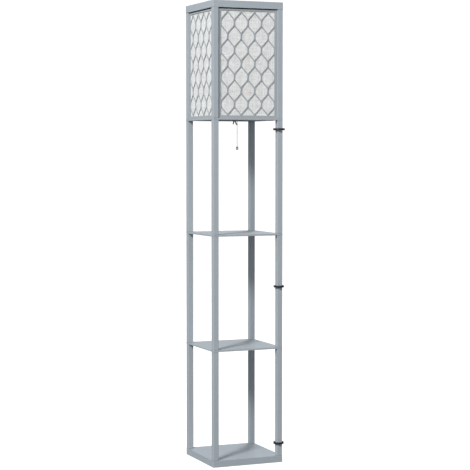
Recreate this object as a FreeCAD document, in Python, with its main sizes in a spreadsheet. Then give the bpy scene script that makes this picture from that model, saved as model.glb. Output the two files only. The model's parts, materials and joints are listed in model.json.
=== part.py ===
import FreeCAD, Part
import math
import os

import Sketcher

# Shelf floor lamp: four square corner posts in sections, with a base, two shelves, a lamp-box floor and a
# lid clamped between them. The lamp box has a trellis panel and a shade panel on each side, and holds a
# bulb on a pull switch, whose chain hangs under the box.
# Millimetres. Origin at the middle of the footprint, on the floor. Z is up and -Y is the front.

doc = FreeCAD.newDocument("shelf_floor_lamp")
sizes = doc.addObject("Spreadsheet::Sheet", "sizes")

# ---------------------------------------------------------------- driving dimensions

DRIVING = {
    # frame
    "footprint": 260,
    "foot_stand": 1,
    "base_top": 24,
    "lower_post": 376,
    "middle_post": 390,
    "upper_post": 393,
    "lamp_post": 375,
    "shelf_thick": 6,
    "lid_thick": 24,
    "post_side": 19.4,
    "post_inset": 0.6,
    "board_inset": 0.3,
    "post_round": 1.2,
    "post_end_ease": 0.8,
    "slab_round": 1.2,
    "board_round": 0.8,
    "fit": 0.05,
    # feet
    "foot_radius": 11,
    "foot_thick": 3,
    "foot_from_middle": 97,
    # joints between the post sections
    "stud_radius": 3,
    "stud_up": 22,
    "stud_down": 12,
    "insert_radius": 5,
    "insert_long": 14,
    "board_hole": 3.3,
    "base_screw_head": 6,
    "base_screw_head_high": 4,
    "base_screw_sink": 5,
    "screw_head_gap": 0.5,
    "hole_spare": 0.5,
    "dowel_radius": 4,
    "dowel_in_post": 15,
    "dowel_in_lid": 13,
    # trellis and shade panels
    "panel_recess": 5,
    "panel_side_gap": 0.3,
    "panel_thick": 2.5,
    "shade_thick": 0.8,
    "bottom_rail": 9.3,
    "top_rail": 5.8,
    "cell_pitch": 50.2,
    "cell_run": 20.9,
    "cell_rise": 25.25,
    "line_wide": 3,
    "cell_bend": 18.1,
    "cell_straight": 4,
    "cell_point_cut": 1.5,
    "point_over_rail": 3.4,
    "point_under_rail": 4.7,
    "cells_across": 4,
    "cell_rows": 4,
    "batten_side": 6,
    # lamp-box floor
    "vent_radius": 60,
    "strap_long": 156,
    "strap_wide": 56,
    "strap_thick": 2,
    "strap_screw_out": 69,
    "strap_screw_side": 12,
    "strap_screw_radius": 1.6,
    "strap_screw_deep": 4.5,
    "strap_hole_spare": 0.2,
    "grommet_place": 98,
    "grommet_radius": 6,
    "grommet_bore": 3.6,
    "grommet_lip_thick": 1.5,
    "grommet_lip_wide": 2.5,
    # pull switch
    "housing_radius": 17,
    "housing_wall": 1.6,
    "housing_floor": 2,
    "housing_hole_gap": 0.3,
    "housing_below": 7.5,
    "housing_above": 18,
    "flange_radius": 27.5,
    "flange_thick": 2,
    "housing_screw_out": 24,
    "chain_place": 12.7,
    "chain_hole": 2,
    "lever_arm": 9.2,
    "lever_raised": 25,
    "lever_wide": 3.6,
    "lever_hub_wall": 1.4,
    "lever_root_half": 1.2,
    "lever_tip_half": 0.8,
    "lever_past_chain": 2,
    "lever_slot_long": 3,
    "lever_slot_gap": 0.25,
    "pin_radius": 1.5,
    "pin_height": 5,
    "cam_radius": 5.5,
    "cam_root_radius": 3.4,
    "cam_tooth_turn": 12,
    "cam_wide": 3,
    "cam_gap": 0.4,
    "spring_radius": 2.1,
    "spring_wire": 0.3,
    "spring_turns": 4,
    "spring_turn_gap": 0.4,
    "spring_beside_lever": 0.7,
    "leaf_wide": 5,
    "leaf_thick": 0.6,
    "leaf_gap": 0.3,
    "leaf_over_pin": 3,
    # chain and pull
    "bead_radius": 1.2,
    "bead_pitch": 3,
    "link_radius": 0.45,
    "link_sink": 0.24,
    "chain_split_gap": 0.3,
    "upper_beads": 10,
    "end_link": 5.5,
    "hanging_beads": 25,
    "pull_radius": 4.7,
    "pull_high": 12.4,
    "pull_foot_radius": 2.9,
    "pull_low_edge": 2.7,
    "pull_high_edge": 7.7,
    "pull_neck_radius": 3.4,
    "pull_neck": 10.7,
    "pull_top_radius": 1.6,
    # chain guide
    "guide_plate_thick": 2,
    "guide_plate_wide": 8,
    "guide_wire": 1.4,
    "guide_left": -2.6,
    "guide_right": 7.4,
    "guide_drop": 13,
    "guide_eye": 1.75,
    "guide_eye_wire": 0.8,
    "guide_screw_radius": 2,
    "guide_screw_head": 3.6,
    "guide_screw_head_high": 2.4,
    "guide_screw_place": 2.4,
    "guide_screw_spare": 0.2,
    "nut_radius": 4,
    "nut_high": 3.2,
    # lamp holder
    "holder_base_high": 6,
    "holder_base_foot": 3,
    "holder_gap": 0.1,
    "shell_radius": 20,
    "shell_wall": 1.8,
    "shell_high": 62,
    "shell_bevel_high": 1.5,
    "shell_bevel_wide": 1.2,
    "screw_shell_radius": 14.3,
    "screw_shell_wall": 0.5,
    "screw_shell_high": 26,
    "screw_shell_flange": 0.6,
    "contact_radius": 3.4,
    "contact_tip_radius": 2,
    "contact_rim": 1,
    "contact_high": 1.9,
    "contact_gap": 0.1,
    "holder_screw_radius": 1.5,
    "holder_screw_out": 10,
    # bulb
    "bulb_cap_radius": 13.2,
    "bulb_cap_high": 25,
    "cap_tip_radius": 3.5,
    "cap_shoulder_radius": 4.5,
    "cap_tip_high": 1.6,
    "cap_cone_radius": 10.6,
    "cap_cone_high": 3.2,
    "cap_thread_start": 5,
    "cap_thread_depth": 0.4,
    "cap_rim_high": 1,
    "bulb_neck_radius": 14.5,
    "bulb_neck_high": 7.9,
    "bulb_flare_radius": 19.8,
    "bulb_flare_high": 23.8,
    "bulb_body_high": 36,
    "bulb_radius": 30,
    "bulb_long": 108,
    # cable rings on the front right post
    "ring_high": 7.2,
    "ring_wall": 1.6,
    "ring_radius": 18.2,
    "top_ring_radius": 20.4,
    "ring_lug": 2.4,
    "low_ring_level": 68.5,
    "middle_ring_level": 618,
    "top_ring_level": 1164,
}

for row, (alias, amount) in enumerate(DRIVING.items(), start=1):
    sizes.set(f"A{row}", alias)
    sizes.set(f"B{row}", str(amount))
    sizes.setAlias(f"B{row}", alias)
doc.recompute()

# ---------------------------------------------------------------- derived expressions

CORNER = "(sizes.footprint / 2 - sizes.post_inset - sizes.post_side / 2)"
POST_INNER = "(sizes.footprint / 2 - sizes.post_inset - sizes.post_side)"
BOARD_SIDE = "(sizes.footprint - 2 * sizes.board_inset)"
SHELF_LOW = "(sizes.base_top + sizes.lower_post)"
MIDDLE_LOW = f"({SHELF_LOW} + sizes.shelf_thick)"
SHELF_HIGH = f"({MIDDLE_LOW} + sizes.middle_post)"
UPPER_LOW = f"({SHELF_HIGH} + sizes.shelf_thick)"
BOX_FLOOR = f"({UPPER_LOW} + sizes.upper_post)"
BOX_LOW = f"({BOX_FLOOR} + sizes.shelf_thick)"
LID_LOW = f"({BOX_LOW} + sizes.lamp_post)"

OPENING_WIDE = "(sizes.cells_across * sizes.cell_pitch)"
ROW_PITCH = "(2 * (sizes.cell_run + sizes.cell_rise))"
CELL_TALL = "(sizes.cell_run + 2 * sizes.cell_rise)"
OPENING_HIGH = (f"((sizes.cell_rows - 1) * {ROW_PITCH} + {CELL_TALL}"
                " + sizes.point_over_rail + sizes.point_under_rail)")
LOWEST_CELL = f"(sizes.bottom_rail + sizes.point_over_rail + {CELL_TALL} / 2)"
PANEL_WIDE = f"(2 * ({POST_INNER} - sizes.panel_side_gap))"
PANEL_HIGH = f"(sizes.bottom_rail + {OPENING_HIGH} + sizes.top_rail)"
PANEL_FRONT = "(sizes.footprint / 2 - sizes.post_inset - sizes.panel_recess)"
SHADE_FRONT = f"({PANEL_FRONT} - sizes.panel_thick)"
BATTEN_FRONT = f"({SHADE_FRONT} - sizes.shade_thick)"

STRAP_TOP = f"({BOX_LOW} + sizes.strap_thick)"
HOUSING_LOW = f"({STRAP_TOP} - sizes.housing_below)"
HOUSING_TOP = f"({STRAP_TOP} + sizes.housing_above)"
HOUSING_INNER = "(sizes.housing_radius - sizes.housing_wall)"
PIN_LEVEL = f"({STRAP_TOP} + sizes.pin_height)"
PIN_PLACE = "(sizes.chain_place - sizes.lever_arm * (1 + cos(sizes.lever_raised * 1 deg)) / 2)"
EYE_LEVEL = f"({HOUSING_LOW} - sizes.guide_plate_thick - sizes.guide_drop)"
CHAIN_TOP = f"({EYE_LEVEL} + sizes.upper_beads * sizes.bead_pitch)"
HANGING_TOP = f"({EYE_LEVEL} - sizes.link_sink - sizes.chain_split_gap)"
HOLDER_LOW = HOUSING_TOP
SHELL_INNER = "(sizes.shell_radius - sizes.shell_wall)"
IN_SHELL = f"({SHELL_INNER} - sizes.holder_gap)"
CONTACT_LOW = f"({HOLDER_LOW} + sizes.holder_base_high)"
BULB_LOW = f"({CONTACT_LOW} + sizes.contact_high + sizes.contact_gap)"
CAP_TOP = f"({BULB_LOW} + sizes.bulb_cap_high)"
BODY_TOP = f"({CAP_TOP} + sizes.bulb_body_high)"
GLOBE_MIDDLE = f"({BULB_LOW} + sizes.bulb_long - sizes.bulb_radius)"

CORNERS = {
    "front_left": (-1, -1),
    "front_right": (1, -1),
    "back_right": (1, 1),
    "back_left": (-1, 1),
}
SIDES = {"front": 0, "right": 90, "back": 180, "left": 270}

made = []


def number(expression):
    """The value, in millimetres, of an expression in the sheet's names."""
    result = sizes.evalExpression(str(expression))
    return float(getattr(result, "Value", result))


def place(piece, x="0", y="0", z="0"):
    """Binds a piece's position to the sheet."""
    piece.setExpression(".Placement.Base.x", f"{x}")
    piece.setExpression(".Placement.Base.y", f"{y}")
    piece.setExpression(".Placement.Base.z", f"{z}")


def keep(piece, label):
    """Names a finished sub-part, which is written to a file of that name."""
    piece.Label = label
    made.append(piece)
    return piece


# ---------------------------------------------------------------- sketch and feature helpers

def new_body(label, x="0", y="0", z="0"):
    """A body that is a sub-part, at a position bound to the sheet."""
    body = doc.addObject("PartDesign::Body", label)
    place(body, x, y, z)
    return keep(body, label)


def new_sketch(body, plane="XY_Plane", level=None):
    """A sketch on one of the body's origin planes, raised along the plane's normal by an expression."""
    sketch = body.newObject("Sketcher::SketchObject", f"{body.Label}_outline")
    support = [item for item in body.Origin.OriginFeatures if item.Role == plane][0]
    sketch.AttachmentSupport = [(support, "")]
    sketch.MapMode = "FlatFace"
    if level is not None:
        sketch.setExpression(".AttachmentOffset.Base.z", level)
    return sketch


def bind(sketch, kind, *places):
    """Adds a dimension whose value is an expression, given last in places."""
    *where, expression = places
    index = sketch.addConstraint(Sketcher.Constraint(kind, *where, number(expression)))
    sketch.setExpression(f"Constraints[{index}]", str(expression))


def bind_point(sketch, element, point, x, y):
    """Fixes a point of a sketch element at two expressions, or on an axis where one is 0."""
    if number(x) == 0:
        sketch.addConstraint(Sketcher.Constraint("PointOnObject", element, point, -2))
    else:
        bind(sketch, "DistanceX", -1, 1, element, point, x)
    if number(y) == 0:
        sketch.addConstraint(Sketcher.Constraint("PointOnObject", element, point, -1))
    else:
        bind(sketch, "DistanceY", -1, 1, element, point, y)


def draw_circle(sketch, radius, x="0", y="0"):
    """A circle with its middle and radius bound to the sheet."""
    middle = FreeCAD.Vector(number(x), number(y), 0)
    circle = sketch.addGeometry(Part.Circle(middle, FreeCAD.Vector(0, 0, 1), number(radius)))
    bind_point(sketch, circle, 3, x, y)
    bind(sketch, "Radius", circle, radius)


def draw_outline(sketch, corners):
    """A closed outline of straight lines through corners whose two coordinates are expressions."""
    points = [FreeCAD.Vector(number(x), number(y), 0) for x, y in corners]
    lines = []
    for start, end in zip(points, points[1:] + points[:1]):
        lines.append(sketch.addGeometry(Part.LineSegment(start, end)))
    for line, after in zip(lines, lines[1:] + lines[:1]):
        sketch.addConstraint(Sketcher.Constraint("Coincident", line, 2, after, 1))
    for line, (x, y) in zip(lines, corners):
        bind_point(sketch, line, 1, x, y)


def draw_box(sketch, wide, high, x="0", y="0"):
    """A rectangle centred on x and y."""
    left, right = f"{x} - {wide} / 2", f"{x} + {wide} / 2"
    low, top = f"{y} - {high} / 2", f"{y} + {high} / 2"
    draw_outline(sketch, [(left, low), (right, low), (right, top), (left, top)])


def add_pad(body, sketch, length, backward=False):
    """Pads a sketch along its plane's normal, or against it."""
    pad = body.newObject("PartDesign::Pad", f"{body.Label}_pad")
    pad.Profile = sketch
    pad.Reversed = backward
    pad.setExpression("Length", length)
    doc.recompute()
    return pad


def add_pocket(body, sketch, depth, forward=False):
    """Cuts a sketch against its plane's normal, or along it, and checks that something is cut."""
    before = body.Shape.Volume
    pocket = body.newObject("PartDesign::Pocket", f"{body.Label}_pocket")
    pocket.Profile = sketch
    pocket.Reversed = forward
    pocket.setExpression("Length", depth)
    doc.recompute()
    if body.Shape.Volume >= before:
        raise RuntimeError(f"{body.Label}: a pocket cuts nothing")
    return pocket


def add_turn(body, sketch):
    """Turns a sketch on the XZ plane round the body's Z axis."""
    turn = body.newObject("PartDesign::Revolution", f"{body.Label}_turn")
    turn.Profile = sketch
    turn.ReferenceAxis = (sketch, ["V_Axis"])
    turn.Angle = 360
    doc.recompute()
    return turn


def upright_edges(shape):
    """Names of the straight edges that run along Z."""
    names = []
    for index, edge in enumerate(shape.Edges, start=1):
        box = edge.BoundBox
        if len(edge.Vertexes) == 2 and box.XLength + box.YLength < 0.001 and box.ZLength > 0.001:
            names.append(f"Edge{index}")
    return names


def end_edges(shape):
    """Names of the edges round the lowest and the highest face."""
    names = []
    for index, edge in enumerate(shape.Edges, start=1):
        box = edge.BoundBox
        for level in (shape.BoundBox.ZMin, shape.BoundBox.ZMax):
            if abs(box.ZMin - level) < 0.001 and abs(box.ZMax - level) < 0.001:
                names.append(f"Edge{index}")
    return names


def round_edges(body, names, radius):
    """Rounds the named edges of the body's last feature."""
    last = body.Tip
    fillet = body.newObject("PartDesign::Fillet", f"{body.Label}_round")
    fillet.Base = (last, names)
    fillet.setExpression("Radius", radius)
    doc.recompute()
    return fillet


def ease_edges(body, names, size):
    """Cuts a small slope along the named edges of the body's last feature."""
    last = body.Tip
    slope = body.newObject("PartDesign::Chamfer", f"{body.Label}_ease")
    slope.Base = (last, names)
    slope.setExpression("Size", size)
    doc.recompute()
    return slope


def drill(body, level, radius, depth, x="0", y="0", upward=False):
    """A round hole from a level of the body, downward or upward."""
    sketch = new_sketch(body, level=level)
    draw_circle(sketch, radius, x, y)
    return add_pocket(body, sketch, depth, forward=upward)


def turned_body(label, profile, x="0", y="0", z="0"):
    """A body turned round its own Z axis from a profile of (radius, height) expressions."""
    body = new_body(label, x, y, z)
    sketch = new_sketch(body, "XZ_Plane")
    draw_outline(sketch, profile)
    add_turn(body, sketch)
    return body


def group(label, pieces):
    """A sub-part made of identical separate solids."""
    compound = doc.addObject("Part::Compound", label)
    compound.Links = pieces
    doc.recompute()
    return keep(compound, label)


def rod(name, radius, high, x, y, z):
    """A plain upright cylinder whose sizes and place are bound to the sheet."""
    cylinder = doc.addObject("Part::Cylinder", name)
    cylinder.setExpression("Radius", radius)
    cylinder.setExpression("Height", high)
    place(cylinder, x, y, z)
    return cylinder


def at_corners(reach):
    """The four corner names with their two coordinates, as expressions of the reach from the middle."""
    return {name: (f"({i} * {reach})", f"({j} * {reach})") for name, (i, j) in CORNERS.items()}


# ---------------------------------------------------------------- boards

def rounded_slab(label, side, thick, level, radius):
    """A square slab with rounded upright corners, standing on a level."""
    body = new_body(label, z=level)
    sketch = new_sketch(body)
    draw_box(sketch, side, side)
    add_pad(body, sketch, thick)
    round_edges(body, upright_edges(body.Shape), radius)
    return body


def drill_corners(body, level, radius, depth, reach=CORNER, upward=False):
    """The same round hole at the four corners of a board."""
    sketch = new_sketch(body, level=level)
    for x, y in at_corners(reach).values():
        draw_circle(sketch, radius, x, y)
    return add_pocket(body, sketch, depth, forward=upward)


def make_base():
    thick = "(sizes.base_top - sizes.foot_stand)"
    body = rounded_slab("base_panel", "sizes.footprint", thick, "sizes.foot_stand", "sizes.slab_round")
    drill_corners(body, thick, "sizes.board_hole", thick)
    head_hole = "(sizes.base_screw_head + sizes.screw_head_gap)"
    drill_corners(body, "0", head_hole, "sizes.base_screw_sink", upward=True)
    foot_sink = "(sizes.foot_thick - sizes.foot_stand)"
    drill_corners(body, "0", "(sizes.foot_radius + sizes.fit)", foot_sink, "sizes.foot_from_middle", True)
    drill(body, "0", "(sizes.foot_radius + sizes.fit)", foot_sink, upward=True)


def make_shelf(label, level):
    body = rounded_slab(label, BOARD_SIDE, "sizes.shelf_thick", level, "sizes.board_round")
    drill_corners(body, "sizes.shelf_thick", "sizes.board_hole", "sizes.shelf_thick")
    return body


def make_box_floor():
    body = make_shelf("lamp_box_floor", BOX_FLOOR)
    drill(body, "sizes.shelf_thick", "sizes.vent_radius", "sizes.shelf_thick")
    grommet_hole = "(sizes.grommet_radius + sizes.fit)"
    drill(body, "sizes.shelf_thick", grommet_hole, "sizes.shelf_thick",
          "sizes.grommet_place", "(-1 * sizes.grommet_place)")
    sketch = new_sketch(body, level="sizes.shelf_thick")
    for x in ("(-1 * sizes.strap_screw_out)", "sizes.strap_screw_out"):
        for y in ("(-1 * sizes.strap_screw_side)", "sizes.strap_screw_side"):
            draw_circle(sketch, "(sizes.strap_screw_radius + sizes.fit)", x, y)
    add_pocket(body, sketch, "(sizes.strap_screw_deep + sizes.strap_hole_spare)")


def make_lid():
    body = rounded_slab("lid", "sizes.footprint", "sizes.lid_thick", LID_LOW, "sizes.slab_round")
    drill_corners(body, "0", "(sizes.dowel_radius + sizes.fit)",
                  "(sizes.dowel_in_lid + sizes.hole_spare)", upward=True)


# ---------------------------------------------------------------- posts and what joins them

def make_post(section, corner, level, high, bottom_hole, top_hole):
    """One post section, with a hole in each end given as (radius, depth) expressions."""
    i, j = CORNERS[corner]
    body = new_body(f"{section}_post_{corner}", f"{i} * {CORNER}", f"{j} * {CORNER}", level)
    sketch = new_sketch(body)
    draw_box(sketch, "sizes.post_side", "sizes.post_side")
    add_pad(body, sketch, high)
    round_edges(body, upright_edges(body.Shape), "sizes.post_round")
    ease_edges(body, end_edges(body.Shape), "sizes.post_end_ease")
    drill(body, "0", *bottom_hole, upward=True)
    drill(body, high, *top_hole)


def make_posts():
    insert = ("(sizes.insert_radius + sizes.fit)", "sizes.insert_long")
    stud = ("(sizes.stud_radius + sizes.fit)", "(sizes.stud_up + sizes.hole_spare)")
    dowel = ("(sizes.dowel_radius + sizes.fit)", "(sizes.dowel_in_post + sizes.hole_spare)")
    for corner in CORNERS:
        make_post("lower", corner, "sizes.base_top", "sizes.lower_post", insert, insert)
        make_post("middle", corner, MIDDLE_LOW, "sizes.middle_post", stud, insert)
        make_post("upper", corner, UPPER_LOW, "sizes.upper_post", stud, insert)
        make_post("lamp", corner, BOX_LOW, "sizes.lamp_post", stud, dowel)


def make_inserts(label, level):
    """Four threaded sleeves, each set flush in a post end, with their lower ends on a level."""
    sleeves = []
    for corner, (x, y) in at_corners(CORNER).items():
        outer = rod(f"{label}_{corner}_outer", "sizes.insert_radius", "sizes.insert_long", x, y, level)
        bore = rod(f"{label}_{corner}_bore", "(sizes.stud_radius + sizes.fit)", "sizes.insert_long",
                   x, y, level)
        sleeve = doc.addObject("Part::Cut", f"{label}_{corner}")
        sleeve.Base = outer
        sleeve.Tool = bore
        sleeves.append(sleeve)
    return sleeves


def make_studs(label, board_top):
    """Four studs: each is fixed in the post above a board and screws into the insert below it."""
    low = f"({board_top} - sizes.shelf_thick - sizes.stud_down)"
    long = "(sizes.stud_up + sizes.shelf_thick + sizes.stud_down)"
    studs = []
    for corner, (x, y) in at_corners(CORNER).items():
        studs.append(rod(f"{label}_{corner}", "sizes.stud_radius", long, x, y, low))
    return studs


def make_base_screws():
    head_low = "(sizes.foot_stand + sizes.base_screw_sink - sizes.base_screw_head_high)"
    shank_low = "(sizes.foot_stand + sizes.base_screw_sink)"
    shank_long = f"(sizes.base_top + sizes.stud_down - {shank_low})"
    screws = []
    for corner, (x, y) in at_corners(CORNER).items():
        head = rod(f"base_screw_head_{corner}", "sizes.base_screw_head", "sizes.base_screw_head_high",
                   x, y, head_low)
        shank = rod(f"base_screw_shank_{corner}", "sizes.stud_radius", shank_long, x, y, shank_low)
        screw = doc.addObject("Part::MultiFuse", f"base_screw_{corner}")
        screw.Shapes = [head, shank]
        screws.append(screw)
    group("base_screws", screws)


def make_lid_dowels():
    low = f"({LID_LOW} - sizes.dowel_in_post)"
    long = "(sizes.dowel_in_post + sizes.dowel_in_lid)"
    dowels = []
    for corner, (x, y) in at_corners(CORNER).items():
        dowels.append(rod(f"lid_dowel_{corner}", "sizes.dowel_radius", long, x, y, low))
    group("lid_dowels", dowels)


def make_feet():
    """Five round pads sunk in the base's underside: one near each corner, and one in the middle."""
    feet = [rod("foot_middle", "sizes.foot_radius", "sizes.foot_thick", "0", "0", "0")]
    for corner, (x, y) in at_corners("sizes.foot_from_middle").items():
        feet.append(rod(f"foot_{corner}", "sizes.foot_radius", "sizes.foot_thick", x, y, "0"))
    group("foot_pads", feet)


# ---------------------------------------------------------------- trellis and shade

def draw_cell(sketch, x, y):
    """One trellis opening: upright sides, rounded shoulders and straight slopes to a point at each end."""
    half = number("(sizes.cell_pitch - sizes.line_wide) / 2")
    point = number(f"{CELL_TALL} / 2 - sizes.cell_point_cut")
    bend = number("sizes.cell_bend")
    side = number("sizes.cell_straight / 2")
    middle = FreeCAD.Vector(number(x), number(y), 0)
    # The slope from the point touches the shoulder's arc at this angle.
    reach = math.hypot(half - bend, point - side)
    touch = math.atan2(point - side, bend - half) - math.acos(bend / reach)

    def at(right, up):
        return middle + FreeCAD.Vector(right, up, 0)

    def shoulder(right, up):
        return at(right * (half - bend + bend * math.cos(touch)), up * (side + bend * math.sin(touch)))

    def arc(right, up, start, end):
        circle = Part.Circle(at(right * (half - bend), up * side), FreeCAD.Vector(0, 0, 1), bend)
        return sketch.addGeometry(Part.ArcOfCircle(circle, start, end))

    def line(start, end):
        return sketch.addGeometry(Part.LineSegment(start, end))

    upper_right = line(at(0, point), shoulder(1, 1))
    arc_upper_right = arc(1, 1, 0, touch)
    right = line(at(half, side), at(half, -side))
    arc_lower_right = arc(1, -1, -touch, 0)
    lower_right = line(shoulder(1, -1), at(0, -point))
    lower_left = line(at(0, -point), shoulder(-1, -1))
    arc_lower_left = arc(-1, -1, math.pi, math.pi + touch)
    left = line(at(-half, -side), at(-half, side))
    arc_upper_left = arc(-1, 1, math.pi - touch, math.pi)
    upper_left = line(shoulder(-1, 1), at(0, point))

    start, end = 1, 2
    joints = [
        (upper_right, end, arc_upper_right, end),
        (arc_upper_right, start, right, start),
        (right, end, arc_lower_right, end),
        (arc_lower_right, start, lower_right, start),
        (lower_left, end, arc_lower_left, end),
        (arc_lower_left, start, left, start),
        (left, end, arc_upper_left, end),
        (arc_upper_left, start, upper_left, start),
    ]
    for joint in joints:
        sketch.addConstraint(Sketcher.Constraint("Tangent", *joint))
    sketch.addConstraint(Sketcher.Constraint("Coincident", lower_right, end, lower_left, start))
    sketch.addConstraint(Sketcher.Constraint("Coincident", upper_left, end, upper_right, start))
    for other in (arc_lower_right, arc_lower_left, arc_upper_left):
        sketch.addConstraint(Sketcher.Constraint("Equal", arc_upper_right, other))
    half_side = "(sizes.cell_straight / 2)"
    half_wide = "((sizes.cell_pitch - sizes.line_wide) / 2)"
    half_tall = f"({CELL_TALL} / 2 - sizes.cell_point_cut)"
    bind(sketch, "Radius", arc_upper_right, "sizes.cell_bend")
    bind(sketch, "DistanceX", -1, 1, right, start, f"{x} + {half_wide}")
    bind(sketch, "DistanceY", -1, 1, right, start, f"{y} + {half_side}")
    bind(sketch, "DistanceX", -1, 1, right, end, f"{x} + {half_wide}")
    bind(sketch, "DistanceY", -1, 1, right, end, f"{y} - {half_side}")
    bind(sketch, "DistanceX", -1, 1, left, start, f"{x} - {half_wide}")
    bind(sketch, "DistanceY", -1, 1, left, start, f"{y} - {half_side}")
    bind(sketch, "DistanceX", -1, 1, left, end, f"{x} - {half_wide}")
    bind(sketch, "DistanceY", -1, 1, left, end, f"{y} + {half_side}")
    bind(sketch, "DistanceX", -1, 1, upper_right, start, x)
    bind(sketch, "DistanceY", -1, 1, upper_right, start, f"{y} + {half_tall}")
    bind(sketch, "DistanceX", -1, 1, lower_left, start, x)
    bind(sketch, "DistanceY", -1, 1, lower_left, start, f"{y} - {half_tall}")


def repeat_cells(body, pocket, across, up):
    """Repeats a trellis opening along the panel's width and height."""
    grid = body.newObject("PartDesign::MultiTransform", f"{body.Label}_cells")
    planes = {item.Role: item for item in body.Origin.OriginFeatures}
    along = body.newObject("PartDesign::LinearPattern", f"{body.Label}_across")
    along.Direction = (planes["X_Axis"], [""])
    along.setExpression("Length", f"({across} - 1) * sizes.cell_pitch")
    along.setExpression("Occurrences", across)
    rising = body.newObject("PartDesign::LinearPattern", f"{body.Label}_up")
    rising.Direction = (planes["Z_Axis"], [""])
    rising.setExpression("Length", f"({up} - 1) * {ROW_PITCH}")
    rising.setExpression("Occurrences", up)
    grid.Originals = [pocket]
    grid.Transformations = [along, rising]
    body.Tip = grid
    doc.recompute()
    return grid


def make_trellis(side, turn):
    """A trellis panel between two posts: a pierced net, then the border round it."""
    body = doc.addObject("PartDesign::Body", f"trellis_{side}")
    keep(body, f"trellis_{side}")
    turned = FreeCAD.Rotation(FreeCAD.Vector(0, 0, 1), turn)
    body.Placement = FreeCAD.Placement(FreeCAD.Vector(0, 0, 0), turned)
    out = turned.multVec(FreeCAD.Vector(0, -1, 0))
    place(body, f"{round(out.x)} * {PANEL_FRONT}", f"{round(out.y)} * {PANEL_FRONT}", BOX_LOW)
    # The sketches lie on the XZ plane, whose normal is -Y here, so a pad that goes inward runs against it.
    middle = f"(sizes.bottom_rail + {OPENING_HIGH} / 2)"
    net = new_sketch(body, "XZ_Plane")
    draw_box(net, OPENING_WIDE, OPENING_HIGH, "0", middle)
    add_pad(body, net, "sizes.panel_thick", backward=True)
    full = new_sketch(body, "XZ_Plane")
    draw_cell(full, "(-1 * (sizes.cells_across - 1) / 2 * sizes.cell_pitch)", LOWEST_CELL)
    pocket = add_pocket(body, full, "sizes.panel_thick")
    repeat_cells(body, pocket, "sizes.cells_across", "sizes.cell_rows")
    between = new_sketch(body, "XZ_Plane")
    draw_cell(between, "(-1 * sizes.cells_across / 2 * sizes.cell_pitch)", f"({LOWEST_CELL} - {ROW_PITCH} / 2)")
    pocket = add_pocket(body, between, "sizes.panel_thick")
    repeat_cells(body, pocket, "(sizes.cells_across + 1)", "(sizes.cell_rows + 1)")
    border = new_sketch(body, "XZ_Plane")
    draw_box(border, PANEL_WIDE, PANEL_HIGH, "0", f"({PANEL_HIGH} / 2)")
    draw_box(border, OPENING_WIDE, OPENING_HIGH, "0", middle)
    add_pad(body, border, "sizes.panel_thick", backward=True)


def side_box(label, turn, wide, deep, high, x, front, z):
    """A box on one side of the lamp box, given as for the front side and turned about the middle."""
    box = doc.addObject("Part::Box", label)
    turned = FreeCAD.Rotation(FreeCAD.Vector(0, 0, 1), turn)
    box.Placement = FreeCAD.Placement(FreeCAD.Vector(0, 0, 0), turned)
    box.setExpression("Length", wide)
    box.setExpression("Width", deep)
    box.setExpression("Height", high)
    right = turned.multVec(FreeCAD.Vector(1, 0, 0))
    out = turned.multVec(FreeCAD.Vector(0, -1, 0))
    place(box, f"{round(right.x)} * {x} + {round(out.x)} * {front}",
          f"{round(right.y)} * {x} + {round(out.y)} * {front}", z)
    return box


def make_shades():
    for side, turn in SIDES.items():
        left = f"(-1 * {PANEL_WIDE} / 2)"
        shade = side_box(f"shade_{side}", turn, PANEL_WIDE, "sizes.shade_thick", PANEL_HIGH, left,
                         SHADE_FRONT, BOX_LOW)
        keep(shade, f"shade_{side}")


def make_battens():
    battens = []
    for side, turn in SIDES.items():
        for end, x in (("a", f"(-1 * {POST_INNER})"), ("b", f"({POST_INNER} - sizes.batten_side)")):
            battens.append(side_box(f"batten_{side}_{end}", turn, "sizes.batten_side", "sizes.batten_side",
                                    PANEL_HIGH, x, BATTEN_FRONT, BOX_LOW))
    group("shade_battens", battens)


# ---------------------------------------------------------------- pull switch

def make_strap():
    body = new_body("holder_strap", z=BOX_LOW)
    sketch = new_sketch(body)
    draw_box(sketch, "sizes.strap_long", "sizes.strap_wide")
    add_pad(body, sketch, "sizes.strap_thick")
    drill(body, "sizes.strap_thick", "(sizes.housing_radius + sizes.housing_hole_gap)", "sizes.strap_thick")
    sketch = new_sketch(body, level="sizes.strap_thick")
    for x in ("(-1 * sizes.strap_screw_out)", "sizes.strap_screw_out"):
        for y in ("(-1 * sizes.strap_screw_side)", "sizes.strap_screw_side"):
            draw_circle(sketch, "(sizes.strap_screw_radius + sizes.fit)", x, y)
    for x in ("(-1 * sizes.housing_screw_out)", "sizes.housing_screw_out"):
        draw_circle(sketch, "(sizes.strap_screw_radius + sizes.fit)", x, "0")
    add_pocket(body, sketch, "sizes.strap_thick")


def pan_screw(name, radius, deep, x, y, under_head):
    """A round-headed screw that points down from the face its head bears on."""
    head = rod(f"{name}_head", f"({radius} * 2)", f"({radius} * 1.1)", x, y, under_head)
    shank = rod(f"{name}_shank", radius, deep, x, y, f"({under_head} - {deep})")
    screw = doc.addObject("Part::MultiFuse", name)
    screw.Shapes = [head, shank]
    return screw


def make_strap_screws():
    """Six identical screws: four hold the strap to the floor board, and two hold the switch to the strap."""
    screws = []
    for i in (-1, 1):
        for j in (-1, 1):
            screws.append(pan_screw(f"strap_screw_{len(screws)}", "sizes.strap_screw_radius",
                                    "(sizes.strap_thick + sizes.strap_screw_deep)",
                                    f"({i} * sizes.strap_screw_out)", f"({j} * sizes.strap_screw_side)",
                                    STRAP_TOP))
        screws.append(pan_screw(f"strap_screw_{len(screws)}", "sizes.strap_screw_radius",
                                "(sizes.strap_thick + sizes.strap_screw_deep)",
                                f"({i} * sizes.housing_screw_out)", "0",
                                f"({STRAP_TOP} + sizes.flange_thick)"))
    group("strap_screws", screws)


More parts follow.
